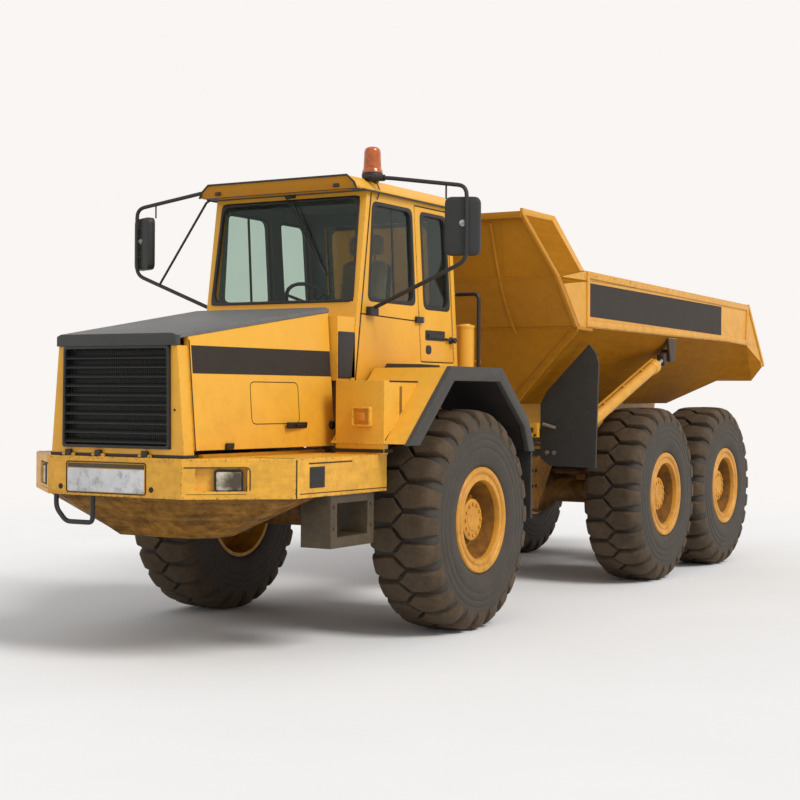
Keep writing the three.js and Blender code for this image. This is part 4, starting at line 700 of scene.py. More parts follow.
wheel_joints = {j["child"]: j for j in frame["joints"] if j["child"].startswith("wheel_")}
tyre_shape, rim_shape = wheel_parts()
for body, joint in wheel_joints.items():
    where = body.removeprefix("wheel_")
    side = 1 if where.endswith("left") else -1
    # The outer face points away from the truck, so a right-hand wheel is turned half round.
    place = Matrix.Translation(joint["pos_m"]) @ Matrix.Rotation(0 if side > 0 else math.pi, 4, "Z")
    for shape, label, materials, slot in (
            (tyre_shape, "tyre", [sidewall_rubber, tread_rubber], "tyre_rubber"),
            (rim_shape, "rim", [rim_enamel, rim_dish_grime_and_painted_shade], "yellow_paint")):
        copy = shape.copy()
        bmesh.ops.transform(copy, matrix=place, verts=copy.verts)
        finish_mesh(copy, f"{label}_{where}_worn", materials, body,
                    stands_for=[f"{label}_{where}"], sharp=40.0)
print("wheels:", sorted(wheel_joints))

# %% [markdown]
# ## Sheets, tubes and blocks
# Most of the fine parts are one of three things: a flat sheet with holes and a rolled edge,
# a bar or tube that follows a path, or a small block with softened corners. Three builders
# make them. Places are given as on a drawing of the truck: x to its left, y back from
# the front axle, and z up from the ground, all in metres.

# %% Places and outlines
def at(x, y, z):
    """A drawing place, with y counted from the front axle, as a place in the scene."""
    return Vector((x, y + FRONT_AXLE_Y, z))


def round_corners(points, radius, steps=5):
    """A polygon of (u, v) points with each corner replaced by a short curve."""
    made = []
    count = len(points)
    for k in range(count):
        before, corner, after = (Vector(points[(k + d) % count]) for d in (-1, 0, 1))
        reach_in = min(radius, (before - corner).length * 0.45)
        reach_out = min(radius, (after - corner).length * 0.45)
        start = corner + (before - corner).normalized() * reach_in
        end = corner + (after - corner).normalized() * reach_out
        for s in range(steps + 1):
            t = s / steps
            made.append(start * (1 - t) ** 2 + corner * 2 * t * (1 - t) + end * t * t)
    return made


def turn_sense(points):
    """Positive where a polygon runs counterclockwise."""
    return sum(a[0] * b[1] - b[0] * a[1] for a, b in zip(points, list(points[1:]) + [points[0]]))


def shifted(points, distance):
    """A polygon moved inwards by a distance, or outwards by a negative one."""
    sense = 1 if turn_sense(points) > 0 else -1
    made = []
    count = len(points)
    for k in range(count):
        before, corner, after = (Vector(points[(k + d) % count]) for d in (-1, 0, 1))
        sides = [v.normalized() for v in (corner - before, after - corner) if v.length > 1e-7]
        normals = [Vector((-side.y, side.x)) * sense for side in sides]
        mean = sum(normals, Vector((0, 0))).normalized()
        made.append(corner + mean * distance / max(mean.dot(normals[0]), 0.4))
    return made


def rectangle(u, v):
    return [(u[0], v[0]), (u[1], v[0]), (u[1], v[1]), (u[0], v[1])]


def finer(points, step=0.04):
    """A polygon with its long sides split, so that it can follow a curved surface."""
    made = []
    for start, end in zip(points, list(points[1:]) + [points[0]]):
        start, end = Vector(start), Vector(end)
        parts = max(1, round((end - start).length / step))
        made += [start.lerp(end, k / parts) for k in range(parts)]
    return made


print("front axle at y =", FRONT_AXLE_Y)

# %% The three builders
def blank():
    bm = bmesh.new()
    bm.faces.layers.float.new("edge")
    return bm


def sheet(bm, loops, place, depth, roll=0.003, index=0, back=0.0, back_index=None):
    """A closed sheet. The first loop is its outline and the rest are holes. place(u, v, w)
    gives a point of it, with w the height over the back, and roll is the radius of its rim."""
    layer = bm.faces.layers.float["edge"]
    levels = [(0.0, back), (0.0, depth - roll), (0.35 * roll, depth - 0.3 * roll), (roll, depth)]
    caps = {0: [], len(levels) - 1: []}
    for number, loop in enumerate(loops):
        inwards = 1 if number == 0 else -1
        rings = []
        for inset, height in levels:
            flat = shifted(loop, inset * inwards) if inset else [Vector(p) for p in loop]
            rings.append([(p, bm.verts.new(place(p[0], p[1], height))) for p in flat])
        for level, (near, far) in enumerate(zip(rings, rings[1:])):
            for k in range(len(near)):
                following = (k + 1) % len(near)
                face = bm.faces.new([near[k][1], near[following][1], far[following][1], far[k][1]])
                at_back = number > 0 and level == 0 and back_index is not None
                face.material_index = back_index if at_back else index
                face[layer] = 1.0 if level > 0 else 0.0
        for level in caps:
            caps[level].append(rings[level])
    for level, rings in caps.items():
        corners = [vert for ring in rings for _, vert in ring]
        cap_index = back_index if level == 0 and back_index is not None else index
        for triangle in tessellate_polygon([[Vector((*p, 0)) for p, _ in ring] for ring in rings]):
            bm.faces.new([corners[k] for k in triangle]).material_index = cap_index


def band(bm, u_range, low, high, place, depth, columns=24, rows=4):
    """A thin film on a curved surface, between low(u) and high(u), as a fine closed grid."""
    grids = []
    for w in (-0.002, depth):
        grid = []
        for c in range(columns + 1):
            u = u_range[0] + (u_range[1] - u_range[0]) * c / columns
            rise = (high(u) - low(u)) / rows
            grid.append([bm.verts.new(place(u, low(u) + rise * r, w)) for r in range(rows + 1)])
        grids.append(grid)
    rim = [(c, 0) for c in range(columns)] + [(columns, r) for r in range(rows)]
    rim += [(c, rows) for c in range(columns, 0, -1)] + [(0, r) for r in range(rows, 0, -1)]
    for grid in grids:
        for c in range(columns):
            for r in range(rows):
                bm.faces.new([grid[c][r], grid[c + 1][r], grid[c + 1][r + 1], grid[c][r + 1]])
    for (c, r), (nc, nr) in zip(rim, rim[1:] + rim[:1]):
        bm.faces.new([grids[0][c][r], grids[0][nc][nr], grids[1][nc][nr], grids[1][c][r]])


def sweep(bm, path, section, bend=0.0, index=0, upright=(0, 0, 1)):
    """A closed bar of a given (side, up) section along a path, bent round its corners."""
    stations = [path[0]]
    for before, corner, after in zip(path, path[1:], path[2:]):
        if bend <= 0:
            stations.append(corner)
            continue
        start = corner + (before - corner).normalized() * min(bend, (before - corner).length * 0.45)
        end = corner + (after - corner).normalized() * min(bend, (after - corner).length * 0.45)
        for t in (0, 0.2, 0.4, 0.6, 0.8, 1):
            stations.append(start * (1 - t) ** 2 + corner * 2 * t * (1 - t) + end * t * t)
    stations.append(path[-1])
    reference = Vector(upright)
    rings = []
    for k, station in enumerate(stations):
        along = (stations[min(k + 1, len(stations) - 1)] - stations[max(k - 1, 0)]).normalized()
        side = along.cross(reference)
        if side.length < 1e-3:
            side = along.cross(Vector((0.3, 1, 0.1)))
        side.normalize()
        up = side.cross(along)
        reference = up
        stretch = 1.0
        if bend <= 0 and 0 < k < len(stations) - 1:
            half = (stations[k + 1] - station).angle(station - stations[k - 1]) / 2
            stretch = 1 / max(math.cos(half), 0.5)
        rings.append([bm.verts.new(station + side * u * stretch + up * v) for u, v in section])
    for near, far in zip(rings, rings[1:]):
        for k in range(len(section)):
            following = (k + 1) % len(section)
            bm.faces.new([near[k], near[following], far[following], far[k]]).material_index = index
    bm.faces.new(rings[0]).material_index = index
    bm.faces.new(rings[-1][::-1]).material_index = index


def circle(radius, sides=14):
    return [(radius * math.cos(2 * math.pi * k / sides),
             radius * math.sin(2 * math.pi * k / sides)) for k in range(sides)]


def flat_bar(wide, high, soften=0.004):
    return round_corners(rectangle((-wide / 2, wide / 2), (-high / 2, high / 2)), soften, 2)


def block_at(bm, centre, size, turn=(0, 0, 0), soften=0.004, index=0):
    """A block with softened edges, turned about its centre by three angles in degrees."""
    layer = bm.faces.layers.float["edge"]
    part = bmesh.new()
    bmesh.ops.create_cube(part, size=1.0)
    bmesh.ops.scale(part, verts=part.verts, vec=size)
    part_layer = part.faces.layers.float.new("edge")
    made = bmesh.ops.bevel(part, geom=part.edges[:], offset=soften, segments=2, affect="EDGES", profile=0.6)
    for face in made["faces"]:
        face[part_layer] = 1.0
    angles = Euler([math.radians(a) for a in turn]).to_matrix().to_4x4()
    bmesh.ops.transform(part, matrix=Matrix.Translation(centre) @ angles, verts=part.verts)
    add_bm(bm, part, index)


def add_bm(bm, part, index=0):
    mesh = bpy.data.meshes.new("part")
    part.to_mesh(mesh)
    part.free()
    before = len(bm.faces)
    bm.from_mesh(mesh)
    bm.faces.ensure_lookup_table()
    for face in bm.faces[before:]:
        face.material_index += index
    bpy.data.meshes.remove(mesh)


def disc_at(bm, centre, direction, profile, steps=24, index=0):
    """A turned shape on a centre: the profile holds (height along the direction, radius)."""
    part = blank()
    turned(part, profile + [profile[0]] if profile[0][1] > 1e-6 else profile, steps)
    outwards(part)
    turn = Vector((1, 0, 0)).rotation_difference(Vector(direction)).to_matrix().to_4x4()
    bmesh.ops.transform(part, matrix=Matrix.Translation(centre) @ turn, verts=part.verts)
    add_bm(bm, part, index)


def both_sides(bm):
    """Adds the mirror image of everything in the mesh on the truck's other side."""
    copy = bmesh.ops.duplicate(bm, geom=bm.verts[:] + bm.edges[:] + bm.faces[:])["geom"]
    verts = [item for item in copy if isinstance(item, bmesh.types.BMVert)]
    faces = [item for item in copy if isinstance(item, bmesh.types.BMFace)]
    bmesh.ops.scale(bm, verts=verts, vec=(-1, 1, 1))
    bmesh.ops.reverse_faces(bm, faces=faces)


def piece(name, materials, body, build, sides="one", stands_for=(), sharp=35.0):
    """Runs build(bm) and finishes the piece. sides is "one", "both" for a mesh with its
    mirror image, or "right" for the mirror image alone."""
    bm = blank()
    build(bm)
    bmesh.ops.recalc_face_normals(bm, faces=bm.faces)
    if sides == "both":
        both_sides(bm)
    if sides == "right":
        bmesh.ops.scale(bm, verts=bm.verts, vec=(-1, 1, 1))
        bmesh.ops.reverse_faces(bm, faces=bm.faces)
    return finish_mesh(bm, name, materials, body, stands_for, sharp)


def pair(name, materials, body, build, stands_for=None, sharp=35.0):
    """A left piece and its mirror image on the right. {side} in a name gives each its own."""
    for side, sides in (("left", "one"), ("right", "right")):
        piece(name.format(side=side), materials, body.format(side=side), build, sides,
              [node.format(side=side) for node in stands_for or ()], sharp)


print("builders ready")

# %% [markdown]
# ## The cab's side walls, door and seals
# A cab side is a pressed sheet with rounded window holes. Each pane sits in a black rubber
# seal that grips the hole's rim, and the door's panel lines are narrow dark gaps. The walls
# are built afresh as sheets, because the corners of their holes are rounded.

# %% Cab outlines
CAB_SIDE = 0.715
CAB_WALL = 0.060
WINDSHIELD_LEAN = 0.149
REAR_LEAN = 0.104


def front_y(z):
    return -0.600 - (3.400 - z) * WINDSHIELD_LEAN


def rear_y(z):
    return 0.750 + (3.400 - z) * REAR_LEAN


def on_cab_side(u, v, w):
    return at(CAB_SIDE - CAB_WALL + w, u, v)


SEAT_GAP = 0.0003
wall_outline = [
    (front_y(1.935) + CAB_WALL + SEAT_GAP, 1.935), (-0.430, 1.935), (-0.300, 2.062),
    (rear_y(2.062) - CAB_WALL - SEAT_GAP, 2.062), (rear_y(3.400) - CAB_WALL - SEAT_GAP, 3.3997),
    (front_y(3.400) + CAB_WALL + SEAT_GAP, 3.3997)]
front_window = [(-0.574, 2.560), (0.150, 2.560), (0.084, 3.322), (-0.516, 3.322)]
rear_window = [(0.300, 2.540), (0.735, 2.540), (0.655, 3.317), (0.220, 3.317)]
DOOR_LOW, DOOR_TOP = 2.107, 3.360


def door_outline(gap):
    seam = [0.129 + (DOOR_TOP - z) * 0.105 - gap for z in (DOOR_LOW, DOOR_TOP)]
    post = [rear_y(z) - 0.075 + gap for z in (DOOR_LOW, DOOR_TOP)]
    return [(seam[0], DOOR_LOW - gap), (post[0], DOOR_LOW - gap), (post[1], DOOR_TOP + gap),
            (seam[1], DOOR_TOP + gap)]


def wall_with(holes):
    return lambda bm: sheet(bm, [wall_outline] + holes, on_cab_side, CAB_WALL, roll=0.004, back_index=1)


front_hole = round_corners(front_window, 0.075)
rear_hole = round_corners(rear_window, 0.075)
piece("cab_left_wall", [cab_enamel, cab_trim], "front_unit",
      wall_with([front_hole, round_corners(door_outline(0.008), 0.02, 2)]), stands_for=["cab_left"])
piece("cab_right_wall", [cab_enamel, cab_trim], "front_unit",
      wall_with([front_hole, rear_hole]), "right", ["cab_right"])
piece("cab_door_panel", [cab_enamel, cab_trim], "cab_door",
      lambda bm: sheet(bm, [round_corners(door_outline(0), 0.018, 2), rear_hole], on_cab_side, CAB_WALL,
                       roll=0.005, back_index=1),
      stands_for=["cab_door"])
print("side walls and door built")

# %% [markdown]
# A window seal is one moulded rubber strip. It stands a few millimetres proud of the sheet
# and runs in to the pane, so it is a sheet with one hole and a well rounded rim.

# %% Window seals
SEAL_IN, SEAL_OUT = 0.024, 0.010


def seal(bm, corners, place, thick=0.034, low=0.030):
    outer = round_corners(shifted(corners, -SEAL_OUT), 0.07)
    inner = round_corners(shifted(corners, SEAL_IN), 0.075)
    sheet(bm, [outer, inner], lambda u, v, w: place(u, v, w + low), thick, roll=0.006)


def slider_bar(bm):
    sweep(bm, [on_cab_side(-0.199, 3.305, 0.038), on_cab_side(-0.148, 2.575, 0.038)], flat_bar(0.010, 0.026),
          upright=(0, 1, 0))


def side_seals(bm):
    seal(bm, front_window, on_cab_side)
    slider_bar(bm)


def right_side_seals(bm):
    side_seals(bm)
    seal(bm, rear_window, on_cab_side)


window_rubber = dusty_black("window_rubber", "#161616", "#33312e", 0.3, 0.55, grain=90.0, depth=0.0002)
piece("window_seal_left", [window_rubber], "front_unit", side_seals)
piece("window_seals_right", [window_rubber], "front_unit", right_side_seals, "right")
piece("window_seal_door", [window_rubber], "cab_door",
      lambda bm: seal(bm, rear_window, on_cab_side))


def on_windshield(u, v, w):
    return at(u, front_y(v) - w, v)


def on_rear_wall(u, v, w):
    return at(u, rear_y(v) + w, v)


windshield_corners = [(-0.672, 2.545), (0.672, 2.545), (0.652, 3.362), (-0.652, 3.362)]


def windshield_trim(bm):
    outer = round_corners(shifted(windshield_corners, -0.006), 0.05)
    inner = round_corners(shifted(windshield_corners, 0.018), 0.085)
    sheet(bm, [outer, inner], lambda u, v, w: on_windshield(u, v, w - 0.022), 0.030, roll=0.006)
    # One pantograph wiper: two thin arms from the roof's edge, and a blade along the glass.
    for foot, tip in (((-0.030, 3.395), (0.300, 2.900)), ((0.045, 3.350), (0.330, 2.880))):
        sweep(bm, [on_windshield(*foot, 0.014), on_windshield(*tip, 0.010)], circle(0.0055, 8))
    sweep(bm, [on_windshield(0.215, 3.020, -0.006), on_windshield(0.400, 2.760, -0.006)],
          flat_bar(0.010, 0.018, 0.003))
    block_at(bm, on_windshield(0.010, 3.392, 0.010), (0.09, 0.026, 0.03))


piece("windshield_seal_and_wipers", [window_rubber], "front_unit", windshield_trim)
back_corners = rectangle((-0.520, 0.520), (2.560, 3.300))
piece("rear_window_seal", [window_rubber], "front_unit",
      lambda bm: sheet(bm, [round_corners(shifted(back_corners, -0.01), 0.03),
          round_corners(shifted(back_corners, 0.03), 0.07)],
                       lambda u, v, w: on_rear_wall(u, v, w - 0.036), 0.042, roll=0.006))
print("seals made")

# %% [markdown]
# Small black fittings sit on the door: a recessed handle plate with its push knob, a lock
# cover, and the catch in the waist line. The waist line itself is a folded step in the
# sheet that shows as one dark line.

# %% Door fittings and panel lines
def line_on(bm, place, points, width=0.006, proud=0.0012):
    """A narrow dark panel line along a row of (u, v) points on a surface."""
    sweep(bm, [place(u, v, proud) for u, v in points], flat_bar(width, 0.003, 0.001), upright=(1, 0, 0))


def face_of_cab(u, v, w):
    return at(CAB_SIDE + w, u, v)


def wall_lines(bm):
    line_on(bm, face_of_cab, [(-0.690, 2.452), (0.17, 2.432)], 0.009)
    line_on(bm, face_of_cab, [(front_y(z) + 0.062, z) for z in (3.39, 2.6, 1.94)], 0.014)
    line_on(bm, face_of_cab, [(-0.40, 1.955), (-0.290, 2.062), (0.24, 2.070), (0.56, 2.066)], 0.030, 0.004)


def door_fittings(bm):
    sheet(bm, [round_corners(rectangle((0.322, 0.648), (2.283, 2.365)), 0.012, 3)], face_of_cab, 0.006,
          roll=0.002, back=-0.002)
    block_at(bm, face_of_cab(0.485, 2.318, 0.011), (0.018, 0.27, 0.034), soften=0.007)
    sheet(bm, [round_corners(rectangle((0.332, 0.420), (2.168, 2.242)), 0.038)], face_of_cab, 0.006,
          roll=0.003, back=-0.002)
    disc_at(bm, face_of_cab(0.752, 2.292, 0.0), (1, 0, 0), [(0, 0), (0, 0.030), (0.012, 0.030),
        (0.016, 0.018),
                                                          (0.032, 0.018), (0.040, 0.026), (0.052, 0.022),
                                                          (0.055, 0)])
    sweep(bm, [face_of_cab(0.655, 2.30, 0.012), face_of_cab(0.73, 2.292, 0.020)], flat_bar(0.02, 0.018))


def waist_catch(bm):
    block_at(bm, face_of_cab(0.205, 2.443, 0.012), (0.026, 0.115, 0.05), soften=0.006)
    disc_at(bm, face_of_cab(0.252, 2.442, 0.010), (1, 0, 0), [(0, 0), (0, 0.014), (0.02, 0.014), (0.022, 0)],
            16, 1)


panel_gap = dusty_black("panel_gap_shadow", "#2a1d0e", "#4a3517", 0.5, 0.9)
piece("cab_left_panel_lines", [panel_gap], "front_unit", wall_lines, "both")
piece("door_fittings", [grained_plastic], "cab_door", door_fittings)
piece("waist_catch", [grained_plastic, zinc_fitting], "front_unit", waist_catch)
pair("vent_panel_{side}", [grained_plastic], "front_unit",
     lambda bm: sheet(bm, [round_corners(rectangle((-0.985, -0.758), (1.955, 2.305)), 0.012, 3)],
                      lambda u, v, w: at(0.705 + w, u, v), 0.010, roll=0.004, back=-0.004))
print("door fittings made")

# %% [markdown]
# ## Roof, beacon and mirrors
# The roof's rain gutter is a small rolled channel. The beacon is a ribbed amber dome on a
# black foot. Each mirror is a deep moulded shell, held out on a bent tube that runs from
# the roof to the waist.

# %% Roof edge and beacon
amber_lens, amber_tree = new_material("moulded_amber_lens")
ridge = add_node(amber_tree, "ShaderNodeTexNoise", {
    "Vector": add_node(amber_tree, "ShaderNodeTexCoord").outputs["Object"], "Scale": 30.0, "Detail": 3.0})
amber_tone = ramp(amber_tree, ridge.outputs["Fac"], [(0.3, linear("#9a4205")), (0.7, linear("#c0600c"))])
amber_shader = add_node(amber_tree, "ShaderNodeBsdfPrincipled", {
    "Base Color": amber_tone, "Roughness": 0.16, "IOR": 1.49, "Coat Weight": 0.5})
add_node(amber_tree, "ShaderNodeOutputMaterial", {"Surface": amber_shader.outputs["BSDF"]})
BEACON_X, BEACON_Y, ROOF_TOP = 0.652, -0.420, 3.485


def beacon(bm):
    foot = [(0.0, 0.0), (0.0, 0.050), (0.026, 0.054), (0.034, 0.080), (0.052, 0.085), (0.066, 0.082),
            (0.072, 0.074), (0.073, 0.0)]
    disc_at(bm, at(BEACON_X, BEACON_Y, ROOF_TOP + 0.001), (0, 0, 1), foot, 32, 0)
    dome = [(0.072, 0.0), (0.072, 0.082), (0.092, 0.080), (0.100, 0.072)]
    for k in range(8):
        dome += [(0.108 + k * 0.017, 0.0715 - k * 0.0008), (0.117 + k * 0.017, 0.0695 - k * 0.0008)]
    dome += [(0.250, 0.062), (0.264, 0.055), (0.274, 0.040), (0.279, 0.018), (0.280, 0.0)]
    disc_at(bm, at(BEACON_X, BEACON_Y, ROOF_TOP + 0.001), (0, 0, 1), dome, 32, 1)


piece("warning_beacon", [grained_plastic, amber_lens], "front_unit", beacon,
      stands_for=["beacon"], sharp=50)


def roof_trim(bm):
    for side in (-1, 1):
        sweep(bm, [at(side * 0.736, y, 3.412) for y in (-0.76, 0.74)], flat_bar(0.014, 0.016, 0.003))
        block_at(bm, at(side * 0.56, -0.800, 3.425), (0.05, 0.012, 0.03), soften=0.003, index=1)
        sweep(bm, [at(side * 0.743, y, 3.398) for y in (-0.70, 0.70)], flat_bar(0.006, 0.014, 0.002), index=1)
    rim = [(-0.742, 3.398), (-0.722, 3.442), (-0.657, 3.500), (0.657, 3.500), (0.722, 3.442), (0.742, 3.398)]
    sweep(bm, [at(x, -0.800, z) for x, z in rim], flat_bar(0.014, 0.014, 0.003), upright=(0, 1, 0), index=1)


piece("roof_gutter", [cab_enamel, satin_black], "front_unit", roof_trim)
print("beacon and gutter made")

# %% Mirrors
MIRROR_X, MIRROR_Y = 1.570, -0.580
MIRROR_TURN = math.degrees(0.42)
mirror_face, mirror_tree = new_material("mirror_glass")
film = add_node(mirror_tree, "ShaderNodeTexNoise", {
    "Vector": add_node(mirror_tree, "ShaderNodeTexCoord").outputs["Object"], "Scale": 14.0, "Detail": 5.0})
film_rough = add_node(mirror_tree, "ShaderNodeMapRange", {
    "Value": film.outputs["Fac"], "From Min": 0.4, "From Max": 0.8, "To Min": 0.02, "To Max": 0.22})
add_node(mirror_tree, "ShaderNodeOutputMaterial", {"Surface": add_node(mirror_tree,
    "ShaderNodeBsdfPrincipled", {
    "Base Color": linear("#cfd4d6"), "Metallic": 1.0,
    "Roughness": film_rough.outputs["Result"]}).outputs["BSDF"]})


def mirror(bm):
    tube = circle(0.0158)
    sweep(bm, [at(0.688, -0.520, 3.508), at(0.85, -0.520, 3.498), at(MIRROR_X, MIRROR_Y, 3.385),
               at(MIRROR_X, MIRROR_Y, 2.830), at(0.745, -0.540, 2.500)], tube, bend=0.075)
    sweep(bm, [at(1.385, -0.560, 3.422), at(1.385, -0.560, 3.300)], circle(0.007, 8))
    sweep(bm, [at(0.66, -0.52, 3.508), at(0.82, -0.52, 3.500)], circle(0.026, 12))
    turn = Matrix.Rotation(math.radians(MIRROR_TURN), 4, "Z")
    centre = at(MIRROR_X - 0.050, MIRROR_Y + 0.035, 3.090)

    def on_head(u, v, w):
        return centre + turn @ Vector((u, -w, v))

    outline = round_corners(rectangle((-0.134, 0.134), (-0.219, 0.219)), 0.055, 6)
    sheet(bm, [outline], lambda u, v, w: on_head(u, v, w - 0.010), 0.044, roll=0.020)
    sheet(bm, [outline, shifted(outline, 0.014)], lambda u, v, w: on_head(u, v, -w - 0.008), 0.026,
          roll=0.005)
    sheet(bm, [shifted(outline, 0.012)], lambda u, v, w: on_head(u, v, -w - 0.008), 0.014, roll=0.002,
          index=1)
    disc_at(bm, on_head(0.0, 0.02, 0.032), turn @ Vector((0, -1, 0)),
            [(0, 0), (0, 0.026), (0.008, 0.024), (0.010, 0.012), (0.018, 0.011), (0.019, 0)], 16, 2)
    for up in (-0.11, 0.13):
        sweep(bm, [on_head(0.0, up, 0.0), at(MIRROR_X, MIRROR_Y, 3.090 + up)], circle(0.011, 10))
    block_at(bm, at(0.741, -0.550, 2.475), (0.046, 0.115, 0.068), soften=0.006)
    block_at(bm, at(0.681, -0.520, 3.512), (0.050, 0.085, 0.026), soften=0.005)


pair("mirror_{side}_shell", [grained_plastic, mirror_face, zinc_fitting], "front_unit", mirror,
     stands_for=["mirror_{side}"])


def mirror_stay(bm):
    sweep(bm, [at(-0.745, -0.560, 3.452), at(-0.842, -0.580, 3.395), at(-1.335, -0.575, 2.733)],
          circle(0.010, 10))
    block_at(bm, at(-0.730, -0.555, 3.462), (0.09, 0.06, 0.05), soften=0.008)


def beacon_cable(bm):
    sweep(bm, [at(0.660, -0.440, 3.512), at(0.700, -0.450, 3.490), at(0.745, -0.455, 3.420),
               at(0.722, -0.460, 3.345)],
          circle(0.005, 8), bend=0.03)


piece("right_mirror_stay", [satin_black], "front_unit", mirror_stay)
piece("beacon_cable", [satin_black], "front_unit", beacon_cable)
print("mirrors made")

# %% [markdown]
# ## The nose
# The grille is a black frame with ten leaning slats over a radiator mesh. The slats and
# the mesh wires repeat at an even step, so one small tree places copies of a part in a row,
# with the count and the step as inputs.

# %% A tree that places copies in a row
def row_tree():
    tree, given = new_tree("copies_in_a_row", [
        ("Part", "NodeSocketObject", None), ("Count", "NodeSocketInt", 10),
        ("Step", "NodeSocketVector", None), ("Material", "NodeSocketMaterial", None)])
    shape = add_node(tree, "GeometryNodeObjectInfo", {"Object": given["Part"]}).outputs["Geometry"]
    line = add_node(tree, "GeometryNodeMeshLine", {"Count": given["Count"], "Offset": given["Step"]},
                    mode="OFFSET")
    copies = add_node(tree, "GeometryNodeInstanceOnPoints",
        {"Points": line.outputs["Mesh"], "Instance": shape})
    end_tree(tree, copies.outputs["Instances"], given["Material"])
    return tree


in_a_row = row_tree()


def row_of(bm, build, count, step, material, index=0):
    """Adds count copies of what build(bm) makes, each a step from the last."""
    part = blank()
    build(part)
    bmesh.ops.recalc_face_normals(part, faces=part.faces)
    mesh = bpy.data.meshes.new("row_part")
    part.to_mesh(mesh)
    part.free()
    carrier = loose_object(mesh, "row_part")
    row = grown(in_a_row, Part=carrier, Count=count, Step=step, Material=material)
    bpy.data.objects.remove(carrier)
    add_mesh(bm, row, index)


print("row tree ready")

# %% The grille
NOSE_Y = -2.660
GRILLE_Y = -2.680
GRILLE_LOW, GRILLE_HIGH = 1.460, 2.151
SLATS = 10
SLAT_STEP = (GRILLE_HIGH - GRILLE_LOW - 0.060) / SLATS


def on_grille(u, v, w):
    return at(u, GRILLE_Y + 0.060 - w, v)


grille_corners = [(-0.4697, GRILLE_LOW + 0.0003), (0.4697, GRILLE_LOW + 0.0003),
                  (0.4617, GRILLE_HIGH - 0.0003), (-0.4617, GRILLE_HIGH - 0.0003)]


def slat(bm):
    low = GRILLE_LOW + 0.048
    sweep(bm, [at(x, GRILLE_Y + 0.024, low) for x in (-0.448, 0.448)],
          [(-0.010, 0.008), (0.010, -0.010), (0.017, -0.013), (0.019, -0.008), (0.010, 0.000),
           (-0.004, 0.013), (-0.009, 0.013)])


def mesh_wire(bm):
    sweep(bm, [at(-0.441, GRILLE_Y + 0.046, z) for z in (GRILLE_LOW + 0.02, GRILLE_HIGH - 0.02)],
          flat_bar(0.005, 0.006, 0.001), upright=(0, 1, 0))


def grille(bm):
    inner = round_corners(shifted(grille_corners, 0.020), 0.02, 3)
    sheet(bm, [round_corners(grille_corners, 0.022, 3), inner], on_grille, 0.060, roll=0.004)
    sheet(bm, [shifted(grille_corners, 0.028)], on_grille, 0.006, roll=0.001)
    row_of(bm, slat, SLATS, (0, 0, SLAT_STEP), satin_black)
    row_of(bm, mesh_wire, 50, (0.018, 0, 0), satin_black)


piece("radiator_grille", [satin_black], "hood", grille, stands_for=["grille"])


def nose_fittings(bm):
    for x in (-0.410, -0.145, 0.262):
        block_at(bm, at(x, -2.676, 1.428), (0.052, 0.024, 0.034), soften=0.006)
        disc_at(bm, at(x - 0.027, -2.672, 1.412), (1, 0, 0), [(0, 0), (0, 0.0125), (0.054, 0.0125),
            (0.054, 0)], 14)
    disc_at(bm, at(0.500, NOSE_Y, 1.722), (0, -1, 0), [(0, 0), (0, 0.009), (0.003, 0.008), (0.004, 0)], 12)


def nose_gap(bm):
    """A black strip for the shadowed gap under the nose's lower edge, on the front and round both corners:
    painted shadow.
    """
    sweep(bm, [at(x, y, 1.412) for x, y in ((-0.592, -2.540), (-0.586, NOSE_Y - 0.0015), (0.586,
        NOSE_Y - 0.0015), (0.592, -2.540))],
          flat_bar(0.004, 0.020, 0.001))


piece("nose_fittings", [satin_black], "hood", nose_fittings)
piece("nose_gap", [satin_black], "hood", nose_gap)
print("slat step", round(SLAT_STEP * 1000, 1), "mm")

# %% [markdown]
# ## The hood's sides
# Each side leans in as it rises and widens to the rear, so its details are placed on a
# slanting surface. It has a blank grey band, a service hatch with rounded corners, a
# pull handle, a catch at the foot and a rubber stop at the rear.

# %% Details on the leaning hood side
def hood_x(y, z):
    back = (y + 2.660) / 1.660
    low, high, top = 0.580 + 0.120 * back, 0.512 + 0.115 * back, 2.236 + 0.249 * back
    return low + (high - low) * (z - 1.430) / (top - 1.430)


side_panel = solids["hood_side_left"].data
panel_faces = BVHTree.FromPolygons([v.co for v in side_panel.vertices],
    [p.vertices for p in side_panel.polygons])


def on_hood_side(u, v, w):
    """A point on the real side panel, found with a ray from outside."""
    place = panel_faces.ray_cast(at(2.0, u, v), Vector((-1, 0, 0)))[0]
    return at(place.x if place and place.x > 0.3 else hood_x(u, v), u, v) + Vector((w, 0, 0))


def hood_black_parts(bm):
    block_at(bm, on_hood_side(-1.465, 1.608, 0.012), (0.026, 0.262, 0.044), (0, 8, 4), 0.007)
    block_at(bm, on_hood_side(-1.44, 1.608, 0.026), (0.012, 0.12, 0.018), (0, 8, 4), 0.004)
    block_at(bm, on_hood_side(-2.21, 1.472, 0.010), (0.024, 0.085, 0.046), (0, 8, 4), 0.006)
    disc_at(bm, on_hood_side(-1.040, 1.604, -0.002), (1, 0, 0.1), [(0, 0), (0, 0.032), (0.018, 0.032),
        (0.024, 0.026), (0.025, 0)], 20)


def hood_lines(bm):
    hatch = round_corners(rectangle((-1.955, -1.415), (1.618, 1.919)), 0.05)
    sheet(bm, [finer(hatch), finer(shifted(hatch, 0.006))], on_hood_side, 0.0014, roll=0.0004, back=-0.002)
    line_on(bm, on_hood_side, [(-2.546, z) for z in (1.44, 1.70, 1.95, 2.19)], 0.009, 0.002)


pair("hood_side_{side}_band", [decal_film], "hood",
     lambda bm: band(bm, (-2.528, -1.014), lambda u: 1.966, lambda u: 2.154, on_hood_side, 0.0012))
pair("hood_side_{side}_catches", [satin_black], "hood", hood_black_parts)
pair("hood_side_{side}_hatch_gap", [panel_gap], "hood", hood_lines)
print("hood sides dressed")

